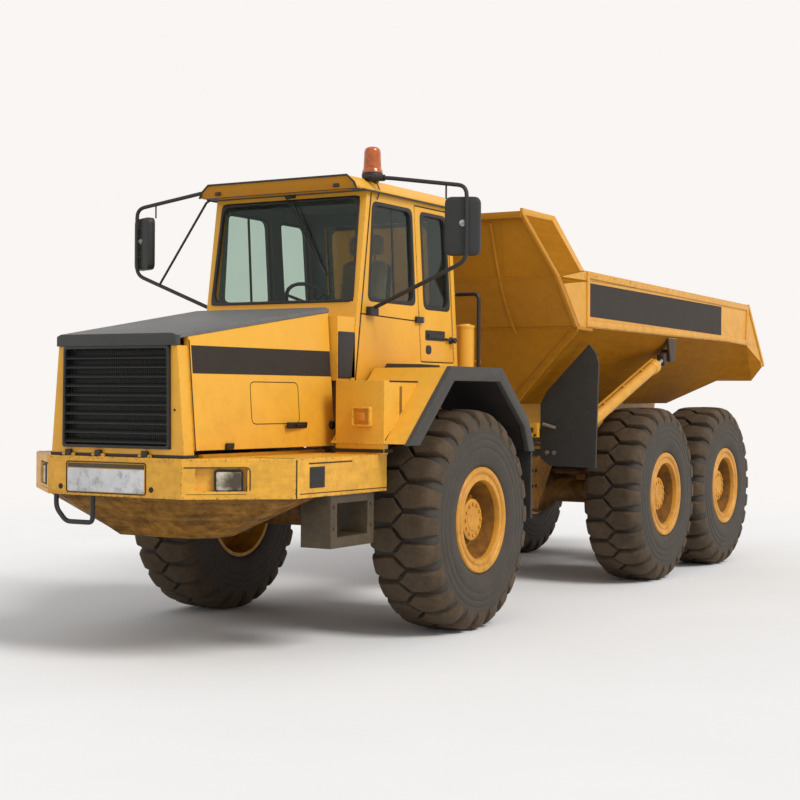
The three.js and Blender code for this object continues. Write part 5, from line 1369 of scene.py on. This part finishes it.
# %% [markdown]
# ## The bumper
# The bumper is a thick welded box. It carries a blank number plate, two recessed
# headlamps with ribbed lenses, rubber pads and the hanging steps, and it is the most
# knocked part of the truck.

# %% Headlamps, plate, bumper seams and a painted shadow line
BUMPER_Y = -2.690
CORNER_SLOPE = math.atan2(0.490, 0.575)
white_plate, plate_tree = new_material("painted_plate")
plate_noise = add_node(plate_tree, "ShaderNodeTexNoise", {
    "Vector": add_node(plate_tree, "ShaderNodeTexCoord").outputs["Object"], "Scale": 12.0, "Detail": 8.0,
    "Roughness": 0.75})
plate_tone = ramp(plate_tree, plate_noise.outputs["Fac"],
                  [(0.32, linear("#8d8d8a")), (0.50, linear("#c9ccce")), (0.7, linear("#d6d9da"))])
add_node(plate_tree, "ShaderNodeOutputMaterial", {"Surface": add_node(plate_tree, "ShaderNodeBsdfPrincipled",
    {
    "Base Color": plate_tone, "Roughness": 0.35}).outputs["BSDF"]})
lens_glass, lens_tree = new_material("ribbed_lamp_lens")
lens_place = add_node(lens_tree, "ShaderNodeTexCoord").outputs["Object"]
ribs = add_node(lens_tree, "ShaderNodeTexWave", {"Vector": lens_place, "Scale": 40.0, "Distortion": 0.4},
                bands_direction="X")
cloudy = add_node(lens_tree, "ShaderNodeTexNoise", {"Vector": lens_place, "Scale": 11.0, "Detail": 2.0})
lens_tone = ramp(lens_tree, cloudy.outputs["Fac"],
                 [(0.38, linear("#4a4236")), (0.55, linear("#8b8370")), (0.68, linear("#c9c3b1"))])
lens_bump = add_node(lens_tree, "ShaderNodeBump", {"Height": ribs.outputs["Fac"], "Strength": 0.25,
    "Distance": 0.001})
add_node(lens_tree, "ShaderNodeOutputMaterial", {"Surface": add_node(lens_tree, "ShaderNodeBsdfPrincipled", {
    "Base Color": lens_tone, "Roughness": 0.12, "Metallic": 0.35,
    "Normal": lens_bump.outputs["Normal"]}).outputs["BSDF"]})


def on_corner(s, v, w):
    """A place on the bumper's slanting corner: s along it from the front, w outwards."""
    along = Vector((math.cos(CORNER_SLOPE), math.sin(CORNER_SLOPE), 0))
    out = Vector((math.sin(CORNER_SLOPE), -math.cos(CORNER_SLOPE), 0))
    return at(0.582, BUMPER_Y, v) + along * s + out * w


def headlamp(bm):
    frame_outline = round_corners(rectangle((0.216, 0.408), (1.180, 1.326)), 0.022)
    glass_outline = shifted(frame_outline, 0.010)
    sheet(bm, [frame_outline, glass_outline], lambda u, v, w: on_corner(u, v, w - 0.044), 0.038, roll=0.006)
    sheet(bm, [shifted(frame_outline, 0.008)], lambda u, v, w: on_corner(u, v, w - 0.044), 0.020, roll=0.002)
    sheet(bm, [glass_outline], lambda u, v, w: on_corner(u, v, w - 0.026), 0.022, roll=0.009, index=1)


piece("headlamps", [satin_black, lens_glass], "front_unit", headlamp, "both")


def on_bumper_front(u, v, w):
    return at(u, BUMPER_Y - w, v)


def on_bumper_side(u, v, w):
    return at(1.157 + w, u, v)


def plate_parts(bm):
    plate = round_corners(rectangle((-0.402, 0.270), (1.160, 1.318)), 0.012, 3)
    sheet(bm, [plate], on_bumper_front, 0.006, roll=0.0015, back=-0.001)
    holder = round_corners(rectangle((-0.418, 0.286), (1.148, 1.366)), 0.022, 3)
    sheet(bm, [holder, shifted(holder, 0.007)], on_bumper_front, 0.004, roll=0.001, index=1, back=-0.001)
    strip = round_corners(rectangle((-0.402, 0.270), (1.324, 1.352)), 0.006, 2)
    sheet(bm, [strip], on_bumper_front, 0.005, roll=0.0015, index=2, back=-0.001)
    for x in (-0.468, 0.329):
        disc_at(bm, on_bumper_front(x, 1.188, -0.001), (0, -1, 0), [(0, 0), (0, 0.020), (0.003, 0.019),
            (0.0035, 0.010), (0.001, 0)], 16, 1)


piece("number_plate_blank", [white_plate, panel_gap, worn_steel], "front_unit", plate_parts)


def bumper_seam_lines_and_painted_shadow(bm):
    line_on(bm, on_bumper_side, [(-2.192, 1.136), (-2.192, 1.392)], 0.013, 0.002)
    line_on(bm, on_bumper_side, [(-2.043, 1.364), (-1.498, 1.364)], 0.009, 0.002)
    line_on(bm, on_bumper_side, [(-2.149, 1.162), (-1.024, 1.156)], 0.006, 0.001)
    sweep(bm, [at(1.140, -2.192, 1.4008), at(0.95, -2.185, 1.4008), at(0.80, -2.17, 1.4008)],
          flat_bar(0.007, 0.003, 0.001))
    # A thin dark line along the top and down the right of the headlamp recess: painted shadow.
    sweep(bm, [on_corner(s, z, 0.0006) for s, z in ((0.015, 1.342), (0.438, 1.342), (0.452, 1.325),
        (0.452, 1.19))],
          flat_bar(0.008, 0.003, 0.001), bend=0.02, upright=(0.6, -0.7, 0))
    sweep(bm, [on_corner(s, 1.166, 0.0004) for s in (0.03, 0.43)], flat_bar(0.003, 0.003, 0.001))


# The sill that closes the engine bay gap is in the darker hull enamel: painted shade.
def bay_sill(bm):
    block_at(bm, at(0.600, -1.770, 1.408), (0.05, 1.48, 0.032), soften=0.006)


piece("bumper_seams", [panel_gap], "front_unit", bumper_seam_lines_and_painted_shadow, "both")


piece("bay_sills", [hull_painted_shade], "front_unit", bay_sill, "both")


def rubber_pad(bm):
    sheet(bm, [round_corners(rectangle((-2.035, -1.850), (1.196, 1.340)), 0.008, 2)], on_bumper_side, 0.003,
          roll=0.001, back=-0.002)
    row_of(bm, lambda part: sweep(part, [on_bumper_side(-2.025, 1.206, 0.004), on_bumper_side(-1.860, 1.206,
        0.004)], flat_bar(0.005, 0.006, 0.001)),
           12, (0, 0, 0.0113), sheet_rubber)


piece("bumper_pads", [sheet_rubber], "front_unit", rubber_pad, "both")


def step_treads(bm):
    tread = lambda part: sweep(part, [at(0.893, -1.655, 0.8375), at(1.131, -1.655, 0.8375)],
        [(-0.006, -0.003), (0.006, -0.003), (0.003, 0.005), (-0.003, 0.005)])
    row_of(bm, tread, 13, (0, 0.0322, 0), worn_steel)
    for y in (-1.740 + 0.005, -1.165 - 0.005):
        for z in (0.90, 1.05):
            disc_at(bm, at(1.137, y + (0.038 if y < -1.5 else -0.038), z), (1, 0, 0),
                    [(0, 0), (0, 0.013), (0.009, 0.012), (0.010, 0)], 6)


piece("step_treads", [worn_steel], "front_unit", step_treads)
piece("tow_loop", [satin_black], "front_unit",
      lambda bm: sweep(bm, [at(-0.530, -2.666, 1.1317), at(-0.530, -2.666, 1.035), at(-0.440, -2.666, 0.945),
                            at(-0.200, -2.666, 0.945), at(-0.200, -2.666, 1.1317)], circle(0.017), bend=0.04),
                            stands_for=["tow_bar"])
print("bumper dressed")

# %% [markdown]
# ## Fenders
# Each front fender ends in a wide rubber lip that keeps mud off the cab. The
# inside of the arch is sprayed with black underseal. The locker ahead of it has a side
# lamp on its front and a folded slot in its side.

# %% Fender lips, side lamps and lockers
fender_edge = [(-1.151, 1.476), (-0.535, 2.040), (0.297, 2.040), (0.793, 1.616), (0.891, 1.385)]
fender_inside = [(0.801, 1.385), (0.718, 1.580), (0.265, 1.950), (-0.500, 1.950), (-1.020, 1.476)]


def fender_lip(bm):
    sheet(bm, [shifted(fender_edge + fender_inside, -0.010)], lambda u, v, w: at(1.392 + w, u, v), 0.044,
          roll=0.009)


pair("fender_{side}_lip", [lip_rubber], "front_unit", fender_lip)
lamp_lens = worn_enamel("amber_side_lens", "#d58a24", grime="#7c4f1c", dust=0.6, chips=0.0, gloss=0.22)
# A darker brown enamel for the locker's side slot: painted shadow in the recess.
slot_painted_shadow = worn_enamel("locker_slot_painted_shadow", "#8f5f17", grime="#3a2712", dust=0.8, chips=0.5, gloss=0.6)


def side_lamp(bm):
    def on_locker_front(u, v, w):
        return at(u, -1.144 - w, v)
    case = round_corners(rectangle((0.944, 1.106), (1.598, 1.745)), 0.016, 3)
    sheet(bm, [case, round_corners(rectangle((0.961, 1.089), (1.615, 1.728)), 0.012, 3)], on_locker_front,
          0.036, roll=0.006)
    sheet(bm, [rectangle((0.958, 1.092), (1.612, 1.731))], on_locker_front, 0.020, roll=0.002, index=1)
    sheet(bm, [round_corners(rectangle((0.985, 1.065), (1.637, 1.706)), 0.012, 3)], on_locker_front, 0.032,
          roll=0.007, index=1)


pair("side_lamp_{side}", [cab_enamel, lamp_lens], "front_unit", side_lamp)


def locker_lines(bm):
    def on_locker_side(u, v, w):
        return at(1.205 + w, u, v)
    # The side slot in the darker slot enamel: painted shadow.
    sheet(bm, [round_corners(rectangle((-0.925, -0.893), (1.680, 1.895)), 0.012, 3)], on_locker_side, 0.003,
          roll=0.001, index=1, back=-0.002)
    line_on(bm, on_locker_side, [(-1.070, 1.930), (-0.600, 1.930)], 0.012, 0.001)
    line_on(bm, on_locker_side, [(-1.13, 1.500), (-0.88, 1.700), (-0.66, 1.900)], 0.008, 0.001)
    for y0, y1, x in ((-1.146, -1.146, None), (-1.140, -1.02, 1.2065)):
        ends = [at(0.78, -1.146, 1.424), at(1.203, -1.146, 1.424)] if x is None else [at(x, y0, 1.424),
            at(x, y1, 1.424)]
        sweep(bm, ends, flat_bar(0.006, 0.026, 0.001))


pair("locker_{side}_folds", [panel_gap, slot_painted_shadow], "front_unit", locker_lines)
print("fenders dressed")

# %% [markdown]
# ## Behind the cab
# The filler neck has a screwed cap, the grab rail is one bent tube, and a small lifting
# bracket stands on the deck.

# %% Deck fittings
piece("grab_rail_tube", [satin_black], "front_unit",
      lambda bm: sweep(bm, [at(0.600, rear_y(2.700) + 0.002, 2.700), at(0.600, 1.025, 2.700),
          at(0.840, 1.025, 2.700),
                            at(0.840, 1.025, 2.0453)], circle(0.017), bend=0.055, upright=(0.1, 0.2, 1)),
                            stands_for=["grab_rail"])


def deck_fittings(bm):
    disc_at(bm, at(0.730, 0.992, 2.408), (0, 0, 1), [(0, 0), (0, 0.084), (0.018, 0.084), (0.024, 0.078),
        (0.026, 0.05), (0.034, 0.046), (0.036, 0)], 28)
    disc_at(bm, at(0.730, 0.992, 2.050), (0, 0, 1), [(0, 0), (0, 0.079), (0.356, 0.079), (0.356, 0)], 28)
    block_at(bm, at(0.800, 1.045, 2.073), (0.09, 0.012, 0.055), soften=0.003)
    sweep(bm, [at(0.775, 1.04, 2.095), at(0.775, 1.065, 2.125), at(0.835, 1.065, 2.125),
               at(0.835, 1.04, 2.095)], circle(0.009, 10), bend=0.012)
    for x in (-0.80, -0.30, 0.30):
        disc_at(bm, at(x, 0.99, 2.045), (0, 0, 1), [(0, 0), (0, 0.018), (0.012, 0.016), (0.013, 0)], 6)


piece("deck_fittings", [cab_enamel], "front_unit", deck_fittings)
print("deck dressed")

# %% [markdown]
# ## The tipping body
# Body plates are stiffened along every free edge: a rolled rim along the guard, a box rail
# round each side board and a flat bar down the slanting front corners. Ribs and weld lines
# cross the headboard.

# %% Rims, ribs and welds
HEAD_FACE = [(1.760, 0.610, 2.200), (2.450, 1.300, 2.050), (2.880, 1.300, 1.620), (3.450, 1.000, 1.500)]


def head_at(z):
    """Half width and front face of the headboard at a height."""
    for (z0, h0, y0), (z1, h1, y1) in zip(HEAD_FACE, HEAD_FACE[1:]):
        if z <= z1:
            t = (z - z0) / (z1 - z0)
            return h0 + (h1 - h0) * t, y0 + (y1 - y0) * t
    return HEAD_FACE[-1][1:]


def on_head(x, z, w=0.0):
    return at(x, head_at(z)[1] - w, z)


def headboard_trim(bm):
    ledge = [on_head(x, 3.432, 0.020) for x in (-1.022, 1.022)]
    sweep(bm, ledge, flat_bar(0.012, 0.050, 0.003), upright=(0, -1, 0))
    sweep(bm, [p + Vector((0, -0.022, -0.020)) for p in ledge], flat_bar(0.052, 0.012, 0.003),
          upright=(0, -1, 0))
    for side in (-1, 1):
        edge = [on_head(side * (head_at(z)[0] - 0.012), z, 0.006) for z in (3.43, 2.88, 2.455)]
        sweep(bm, edge, flat_bar(0.030, 0.022, 0.004), upright=(0, -1, 0.2))
        rib_line = [(0.700, 3.36), (0.715, 3.18), (0.735, 2.90), (0.700, 2.70), (0.672, 2.47), (0.70, 2.40)]
        sweep(bm, [on_head(side * x, z, 0.010) for x, z in rib_line], circle(0.014, 10), bend=0.05,
              upright=(1, 0, 0))
    for z in (2.872, 2.452):
        half = head_at(z)[0] - 0.02
        sweep(bm, [on_head(x, z, 0.003) for x in (-half, half)], circle(0.009, 8))
    for x in (-0.80, 0.80):
        sweep(bm, [on_head(x, z, 0.001) for z in (3.40, 2.885)], circle(0.004, 8), upright=(1, 0, 0))


def corner_straps(bm):
    sweep(bm, [on_head(1.285, 2.435, 0.004), on_head(0.615, 1.790, 0.004)], flat_bar(0.070, 0.016, 0.004),
          upright=(0, -1, 0))
    sweep(bm, [on_head(1.298, 2.446, 0.010), at(1.298, 2.20, 2.440), at(1.302, 2.37, 2.438)],
          flat_bar(0.022, 0.026, 0.004))


piece("headboard_rims", [hull_painted_shade], "tipping_body", headboard_trim)
piece("front_corner_straps", [hull_painted_shade], "tipping_body", corner_straps, "both")


def guard_rim(bm):
    sweep(bm, [at(1.004, 1.505, 3.446), at(1.004, 2.150, 3.446), at(1.282, 2.240, 2.905)],
          flat_bar(0.026, 0.060, 0.006), upright=(0, 0, 1))


piece("guard_rims", [hull_enamel], "tipping_body", guard_rim, "both")


def on_board(u, v, w):
    return at(1.300 + w, u, v)


board_outline = [(2.252, 2.462), (6.150, 2.462), (6.880, 2.440), (6.925, 2.900), (2.250, 2.962)]
pair("side_board_{side}_rails", [hull_enamel], "tipping_body",
     lambda bm: sheet(bm, [board_outline, shifted(board_outline, 0.058)], on_board, 0.014, roll=0.005,
         back=-0.003))
pair("side_board_{side}_band", [decal_film], "tipping_body",
     lambda bm: band(bm, (2.325, 5.980), lambda u: 2.557 - (u - 2.325) * 0.0096,
         lambda u: 2.862 - (u - 2.325) * 0.0066,
                     on_board, 0.0015, 12, 2))


def tail_flange(bm):
    edge = [(6.925, 2.902), (7.515, 2.215)]
    sweep(bm, [on_board(u, v, 0.0) for u, v in edge], flat_bar(0.040, 0.030, 0.005), upright=(1, 0, 0))
    sweep(bm, [on_board(6.900, 2.90, 0.008), on_board(6.895, 2.44, 0.008)], flat_bar(0.030, 0.016, 0.004),
          upright=(1, 0, 0))
    block_at(bm, at(1.28, 7.47, 2.250), (0.05, 0.09, 0.07), (45, 0, 0), 0.008)


piece("tail_flanges", [hull_enamel], "tipping_body", tail_flange, "both")
print("body rims made")

# %% [markdown]
# ## Hoists, flaps and running gear
# The hoist's barrel ends in a gland collar, and its rod is bolted to a cast head. A
# steel pipe runs beside the barrel. The axles have bolted differential covers, and air
# pipes run along the frame.

# %% Hoist fittings
HOIST_X = 1.225
HOIST_FOOT = at(HOIST_X, 2.430, 1.555)
HOIST_HEAD = at(HOIST_X, 4.470, 2.255)
hoist_line = (HOIST_HEAD - HOIST_FOOT).normalized()
hoist_length = (HOIST_HEAD - HOIST_FOOT).length
hoist_tilt = math.degrees(math.atan2(hoist_line.z, hoist_line.y))


def barrel(bm):
    mouth = hoist_length - 0.330
    profile = [(0.060, 0.0), (0.060, 0.050), (0.072, 0.058), (mouth - 0.115, 0.058), (mouth - 0.105, 0.068),
               (mouth - 0.094, 0.072),
               (mouth - 0.012, 0.072), (mouth, 0.064), (mouth, 0.0445), (mouth - 0.030, 0.0445),
               (mouth - 0.030, 0.0)]
    disc_at(bm, HOIST_FOOT, hoist_line, profile, 32)
    disc_at(bm, HOIST_FOOT - Vector((0.040, 0, 0)), (1, 0, 0),
            [(0, 0.0328), (0, 0.070), (0.005, 0.075), (0.075, 0.075), (0.080, 0.070), (0.080, 0.0328)], 32)
    start, end = HOIST_FOOT + hoist_line * 0.20, HOIST_FOOT + hoist_line * (mouth - 0.06)
    lift = hoist_line.cross(Vector((-1, 0, 0))).normalized()
    sweep(bm, [start + lift * 0.060, start + lift * 0.088 + hoist_line * 0.05, end + lift * 0.088,
               end + lift * 0.066 + hoist_line * 0.03],
          circle(0.012, 10), bend=0.03, index=1)
    for d in (0.45, 0.95, 1.45):
        block_at(bm, HOIST_FOOT + hoist_line * d + lift * 0.072, (0.030, 0.040, 0.030), (hoist_tilt, 0, 0),
                 0.004, 1)


pair("hoist_barrel_{side}_tube", [hull_enamel, hull_painted_shade], "hoist_barrel_{side}", barrel,
     stands_for=["hoist_barrel_{side}"])


def rod_head(bm):
    disc_at(bm, HOIST_FOOT, hoist_line, [(0.180, 0.0), (0.180, 0.030), (hoist_length - 0.05, 0.030),
        (hoist_length - 0.05, 0.0)], 24, 1)
    disc_at(bm, HOIST_HEAD - Vector((0.040, 0, 0)), (1, 0, 0), [(0, 0), (0, 0.062), (0.004, 0.066),
        (0.076, 0.066), (0.080, 0.062), (0.080, 0)], 28)
    block_at(bm, HOIST_HEAD - hoist_line * 0.085, (0.078, 0.150, 0.120), (hoist_tilt, 0, 0), 0.014)


pair("hoist_rod_{side}_and_head", [cast_iron, plated_rod], "hoist_rod_{side}", rod_head,
     stands_for=["hoist_rod_{side}"])
print("hoists at", round(hoist_tilt, 1), "degrees")

# %% Frame pins, flap bolts and axle covers
def foot_pin(bm):
    disc_at(bm, at(1.150, 2.430, 1.555), (1, 0, 0), [(0, 0), (0, 0.0315), (0.108, 0.0315), (0.112, 0.026),
        (0.112, 0)], 20)
    sweep(bm, [at(0.870, 2.262, 1.575), at(1.000, 2.262, 1.540)], circle(0.016, 12))
    block_at(bm, at(0.815, 2.24, 1.515), (0.045, 0.05, 0.13), soften=0.006, index=1)
    sweep(bm, [at(0.40, 2.24, 1.470), at(0.82, 2.24, 1.470)], flat_bar(0.05, 0.04, 0.006), index=1)


piece("hoist_foot_pins", [zinc_fitting, cab_enamel], "rear_unit", foot_pin, "both")


def flap_bolts(bm):
    for x, z in ((0.90, 1.31), (0.97, 1.31)):
        disc_at(bm, at(x, 2.290, z), (0, -1, 0), [(0, 0), (0, 0.022), (0.003, 0.022), (0.003, 0.013),
            (0.011, 0.012), (0.012, 0)], 12)


piece("flap_bolts", [zinc_fitting], "rear_unit", flap_bolts, "both")


def axle_cover(bm, y, face=-1):
    """The bolted cover and pinion nose of a differential."""
    centre = at(0, y, 0.862)
    disc_at(bm, centre + Vector((0, face * 0.200, 0)), (0, face, 0),
            [(0, 0), (0, 0.205), (0.022, 0.205), (0.026, 0.175), (0.060, 0.110), (0.120, 0.085),
             (0.150, 0.080), (0.156, 0.095), (0.176, 0.095), (0.178, 0)], 32)
    for k in range(14):
        angle = 2 * math.pi * k / 14
        disc_at(bm, centre + Vector((0.190 * math.sin(angle), face * 0.222, 0.190 * math.cos(angle))),
                (0, face, 0),
                [(0, 0), (0, 0.013), (0.010, 0.012), (0.011, 0)], 6)


piece("front_axle_cover", [chassis_grime_and_painted_shade], "front_unit", lambda bm: axle_cover(bm, 0.0, 1))


def rear_covers(bm):
    axle_cover(bm, 4.0, -1)
    axle_cover(bm, 5.82, -1)


piece("rear_axle_covers", [chassis_grime_and_painted_shade], "rear_unit", rear_covers)


def frame_pipes(bm):
    for x, z in ((0.412, 1.40), (0.412, 1.36)):
        sweep(bm, [at(x, y, z) for y in (2.05, 6.25)], circle(0.009, 8))
    for y in (2.6, 3.4, 4.3, 5.2, 6.0):
        block_at(bm, at(0.410, y, 1.38), (0.026, 0.035, 0.085), soften=0.004)
    for y in (2.1, 2.25, 3.02, 3.10):
        for z in (0.95, 1.10, 1.25):
            disc_at(bm, at(0.400, y, z), (1, 0, 0), [(0, 0), (0, 0.016), (0.012, 0.014), (0.013, 0)], 6)


piece("frame_pipes", [satin_black], "rear_unit", frame_pipes, "both")
print("running gear dressed")

# %% [markdown]
# ## Inside the cab
# The driver's seat is a woven cover over foam. Cushion and backrest are crowned. The cloth is
# simulated: a rounded block is remeshed finely, puffed from inside with gravity off, and
# smoothed by one subdivision.

# %% Seat pads
seat_cloth, cloth_tree = new_material("woven_seat_cloth")
cloth_place = add_node(cloth_tree, "ShaderNodeTexCoord").outputs["Object"]
weft = add_node(cloth_tree, "ShaderNodeTexWave", {"Vector": cloth_place, "Scale": 90.0},
                bands_direction="X")   # ribs 3.5 mm apart
warp = add_node(cloth_tree, "ShaderNodeTexWave", {"Vector": cloth_place, "Scale": 90.0}, bands_direction="Z")
weave = add_node(cloth_tree, "ShaderNodeMath", {0: weft.outputs["Fac"], 1: warp.outputs["Fac"]},
                 operation="MULTIPLY")
cloth_tone = ramp(cloth_tree, weave.outputs[0], [(0.0, linear("#7d6045")), (1.0, linear("#b3936f"))])
cloth_bump = add_node(cloth_tree, "ShaderNodeBump",
    {"Height": weave.outputs[0], "Strength": 0.5, "Distance": 0.002})
add_node(cloth_tree, "ShaderNodeOutputMaterial", {"Surface": add_node(cloth_tree, "ShaderNodeBsdfPrincipled",
    {
    "Base Color": cloth_tone, "Roughness": 0.9, "Sheen Weight": 0.4,
    "Normal": cloth_bump.outputs["Normal"]}).outputs["BSDF"]})


def puffed(name, build, stands_for=()):
    """A cushion: build(bm) gives its closed block, and cloth pressure rounds it out."""
    bm = blank()
    build(bm)
    bmesh.ops.recalc_face_normals(bm, faces=bm.faces)
    mesh = bpy.data.meshes.new(name)
    bm.to_mesh(mesh)
    bm.free()
    pad = loose_object(mesh, name)
    remesh = pad.modifiers.new("even_grid", "REMESH")
    remesh.mode = "VOXEL"
    remesh.voxel_size = 0.008
    depsgraph = bpy.context.evaluated_depsgraph_get()
    depsgraph.update()
    fine = bpy.data.meshes.new_from_object(pad.evaluated_get(depsgraph))
    pad.modifiers.clear()
    pad.data = fine
    before = [v.co.copy() for v in fine.vertices]
    cloth = pad.modifiers.new("foam", "CLOTH")
    cloth.settings.use_pressure = True
    cloth.settings.uniform_pressure_force = 4.0
    cloth.settings.effector_weights.gravity = 0.0
    for step in range(1, 21):
        bpy.context.scene.frame_set(step)
    depsgraph = bpy.context.evaluated_depsgraph_get()
    soft = bpy.data.meshes.new_from_object(pad.evaluated_get(depsgraph))
    pad.modifiers.clear()
    for vertex, start in zip(soft.vertices, before):
        moved = vertex.co - start
        vertex.co = start + moved * min(1.0, 0.015 / max(moved.length, 1e-9))
    pad.data = soft
    bpy.context.scene.frame_set(1)
    smooth = pad.modifiers.new("smooth_foam", "SUBSURF")
    smooth.levels = smooth.render_levels = 1
    depsgraph = bpy.context.evaluated_depsgraph_get()
    smoothed = bpy.data.meshes.new_from_object(pad.evaluated_get(depsgraph))
    pad.modifiers.clear()
    pad.data = smoothed
    print(name, len(smoothed.vertices), "vertices", sum(len(f.vertices) - 2 for f in smoothed.polygons),
          "triangles")
    pad.data.materials.clear()
    pad.data.materials.append(seat_cloth)
    pad.data.polygons.foreach_set("use_smooth", [True] * len(pad.data.polygons))
    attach(pad, "front_unit")
    for node_name in stands_for:
        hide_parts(node_name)
    return pad


def cushion(bm):
    outline = round_corners(rectangle((-0.235, 0.235), (-0.090, 0.400)), 0.07, 4)
    sheet(bm, [outline], lambda u, v, w: at(u, v, 2.292 + w), 0.105, roll=0.040)


def backrest(bm):
    outline = round_corners(rectangle((-0.225, 0.225), (0.07, 0.64)), 0.09, 4)
    sheet(bm, [outline], lambda u, v, w: at(u, 0.495 + v * 0.13 - w, 2.350 + v), 0.085, roll=0.035)


def head_rest(bm):
    outline = round_corners(rectangle((-0.165, 0.165), (0.665, 0.850)), 0.07, 4)
    sheet(bm, [outline], lambda u, v, w: at(u, 0.495 + v * 0.13 - w, 2.350 + v), 0.080, roll=0.034)


puffed("seat_cushion", cushion, ["seat"])
puffed("seat_backrest", backrest)
puffed("seat_head_rest", head_rest)


def seat_shell(bm):
    sheet(bm, [round_corners(rectangle((-0.240, 0.240), (-0.095, 0.500)), 0.05, 3)], lambda u, v,
          w: at(u, v, 2.2803 + w), 0.020, roll=0.006)
    sheet(bm, [round_corners(rectangle((-0.230, 0.230), (0.0, 0.66)), 0.07, 3)], lambda u, v,
          w: at(u, 0.500 + v * 0.13 + w, 2.290 + v), 0.028, roll=0.008)
    for x in (-0.07, 0.07):
        sweep(bm, [at(x, 0.575, 2.93), at(x, 0.590, 3.07)], circle(0.008, 10))


piece("seat_shell", [grained_plastic], "front_unit", seat_shell)
print("seat made")

# %% [markdown]
# ## Finishes for the parts kept as they are

# %% Give the kept parts their materials
KEPT = {
    glass: ["window_left", "window_right_front", "window_right_rear", "window_door", "windshield",
            "window_rear"],
    engine_paint: ["engine"],
    floor_mat: ["cab_floor"],
    grained_plastic: ["dashboard"],
    plated_rod: ["hoist_stage_left", "hoist_stage_right"],
}
for material, names in KEPT.items():
    for node_name in names:
        solids[node_name].data.materials.clear()
        solids[node_name].data.materials.append(material)
print("kept parts:", sum(len(names) for names in KEPT.values()))

# %% [markdown]
# ## Floor, light and camera
# A machine is shown on a pale seamless floor under one broad soft light and an even
# sky. The floor near the truck takes its shadow, and further out it fades to the plain
# background colour, so that no horizon shows.

# %% The pale floor
BACKGROUND = "#faf6f3"


def floor_material():
    material, tree = new_material("seamless_floor")
    place = add_node(tree, "ShaderNodeTexCoord").outputs["Object"]
    grain = add_node(tree, "ShaderNodeTexNoise", {"Vector": place, "Scale": 0.6, "Detail": 3.0})
    tone = ramp(tree, grain.outputs["Fac"], [(0.3, linear("#e9ebee")), (0.7, linear("#eceef1"))])
    lit = add_node(tree, "ShaderNodeBsdfPrincipled",
                   {"Base Color": tone, "Roughness": 0.9, "Specular IOR Level": 0.2})
    far = add_node(tree, "ShaderNodeEmission", {"Color": linear(BACKGROUND), "Strength": 1.0})
    distance = add_node(tree, "ShaderNodeVectorMath", {0: place}, operation="LENGTH").outputs["Value"]
    fade = add_node(tree, "ShaderNodeMapRange", {
        "Value": distance, "From Min": 7.0, "From Max": 16.0}, interpolation_type="SMOOTHSTEP")
    surface = add_node(tree, "ShaderNodeMixShader", {
        "Fac": fade.outputs["Result"], 1: lit.outputs["BSDF"], 2: far.outputs["Emission"]})
    add_node(tree, "ShaderNodeOutputMaterial", {"Surface": surface.outputs["Shader"]})
    return material


def make_floor(size=80.0):
    bm = bmesh.new()
    bmesh.ops.create_grid(bm, x_segments=8, y_segments=8, size=size)
    mesh = bpy.data.meshes.new("studio_floor")
    bm.to_mesh(mesh)
    bm.free()
    mesh.materials.append(floor_material())
    floor = loose_object(mesh, "studio_floor")
    return floor


make_floor()
bpy.data.objects.remove(block)
print("floor laid")

# %% The light
world = bpy.data.worlds.new("even_sky")
bpy.context.scene.world = world
world.use_nodes = True
sky = world.node_tree
sky.nodes.clear()
rays = add_node(sky, "ShaderNodeLightPath").outputs
seen = add_node(sky, "ShaderNodeMath", {0: rays["Is Camera Ray"], 1: rays["Is Glossy Ray"]},
                operation="MAXIMUM")
seen = add_node(sky, "ShaderNodeMath", {0: seen.outputs[0], 1: rays["Is Transmission Ray"]},
                operation="MAXIMUM")
sky_light = add_node(sky, "ShaderNodeBackground", {"Color": linear("#fdfbf8"), "Strength": 0.62})
sky_seen = add_node(sky, "ShaderNodeBackground", {"Color": linear(BACKGROUND), "Strength": 1.0})
sky_mix = add_node(sky, "ShaderNodeMixShader", {
    "Fac": seen.outputs[0], 1: sky_light.outputs["Background"], 2: sky_seen.outputs["Background"]})
add_node(sky, "ShaderNodeOutputWorld", {"Surface": sky_mix.outputs["Shader"]})


def soft_sun(name, strength, direction, spread, colour="#ffffff"):
    """A sun that shines along a direction, with soft-edged shadows."""
    lamp = bpy.data.lights.new(name, "SUN")
    lamp.energy = strength
    lamp.angle = math.radians(spread)
    lamp.color = linear(colour)[:3]
    made = bpy.data.objects.new(name, lamp)
    made.rotation_euler = Vector(direction).to_track_quat("-Z", "Y").to_euler()
    bpy.context.scene.collection.objects.link(made)
    return made


soft_sun("key_light", 2.1, (-0.80, 0.10, -0.85), 24.0, "#fffbf5")
print("light placed")

# %% The camera
EYE = Vector((6.999, -13.224, 1.82))
YAW, PITCH_DOWN, ROLL = (math.radians(a) for a in (30.36, -0.13, 0.34))
forward = Vector((-math.sin(YAW) * math.cos(PITCH_DOWN), math.cos(YAW) * math.cos(PITCH_DOWN),
                  math.sin(PITCH_DOWN)))
level = Vector((math.cos(YAW), math.sin(YAW), 0.0))
upright = level.cross(forward)
right = level * math.cos(ROLL) + upright * math.sin(ROLL)
up = upright * math.cos(ROLL) - level * math.sin(ROLL)
lens = bpy.data.cameras.new("camera")
lens.lens = 70.24
lens.sensor_width = 36.0
camera = bpy.data.objects.new("camera", lens)
camera.matrix_world = Matrix((
    (right.x, up.x, -forward.x, EYE.x), (right.y, up.y, -forward.y, EYE.y),
    (right.z, up.z, -forward.z, EYE.z), (0, 0, 0, 1)))
bpy.context.scene.collection.objects.link(camera)
bpy.context.scene.camera = camera
bpy.context.scene.view_settings.view_transform = "Standard"
print("camera at", tuple(round(v, 3) for v in EYE))
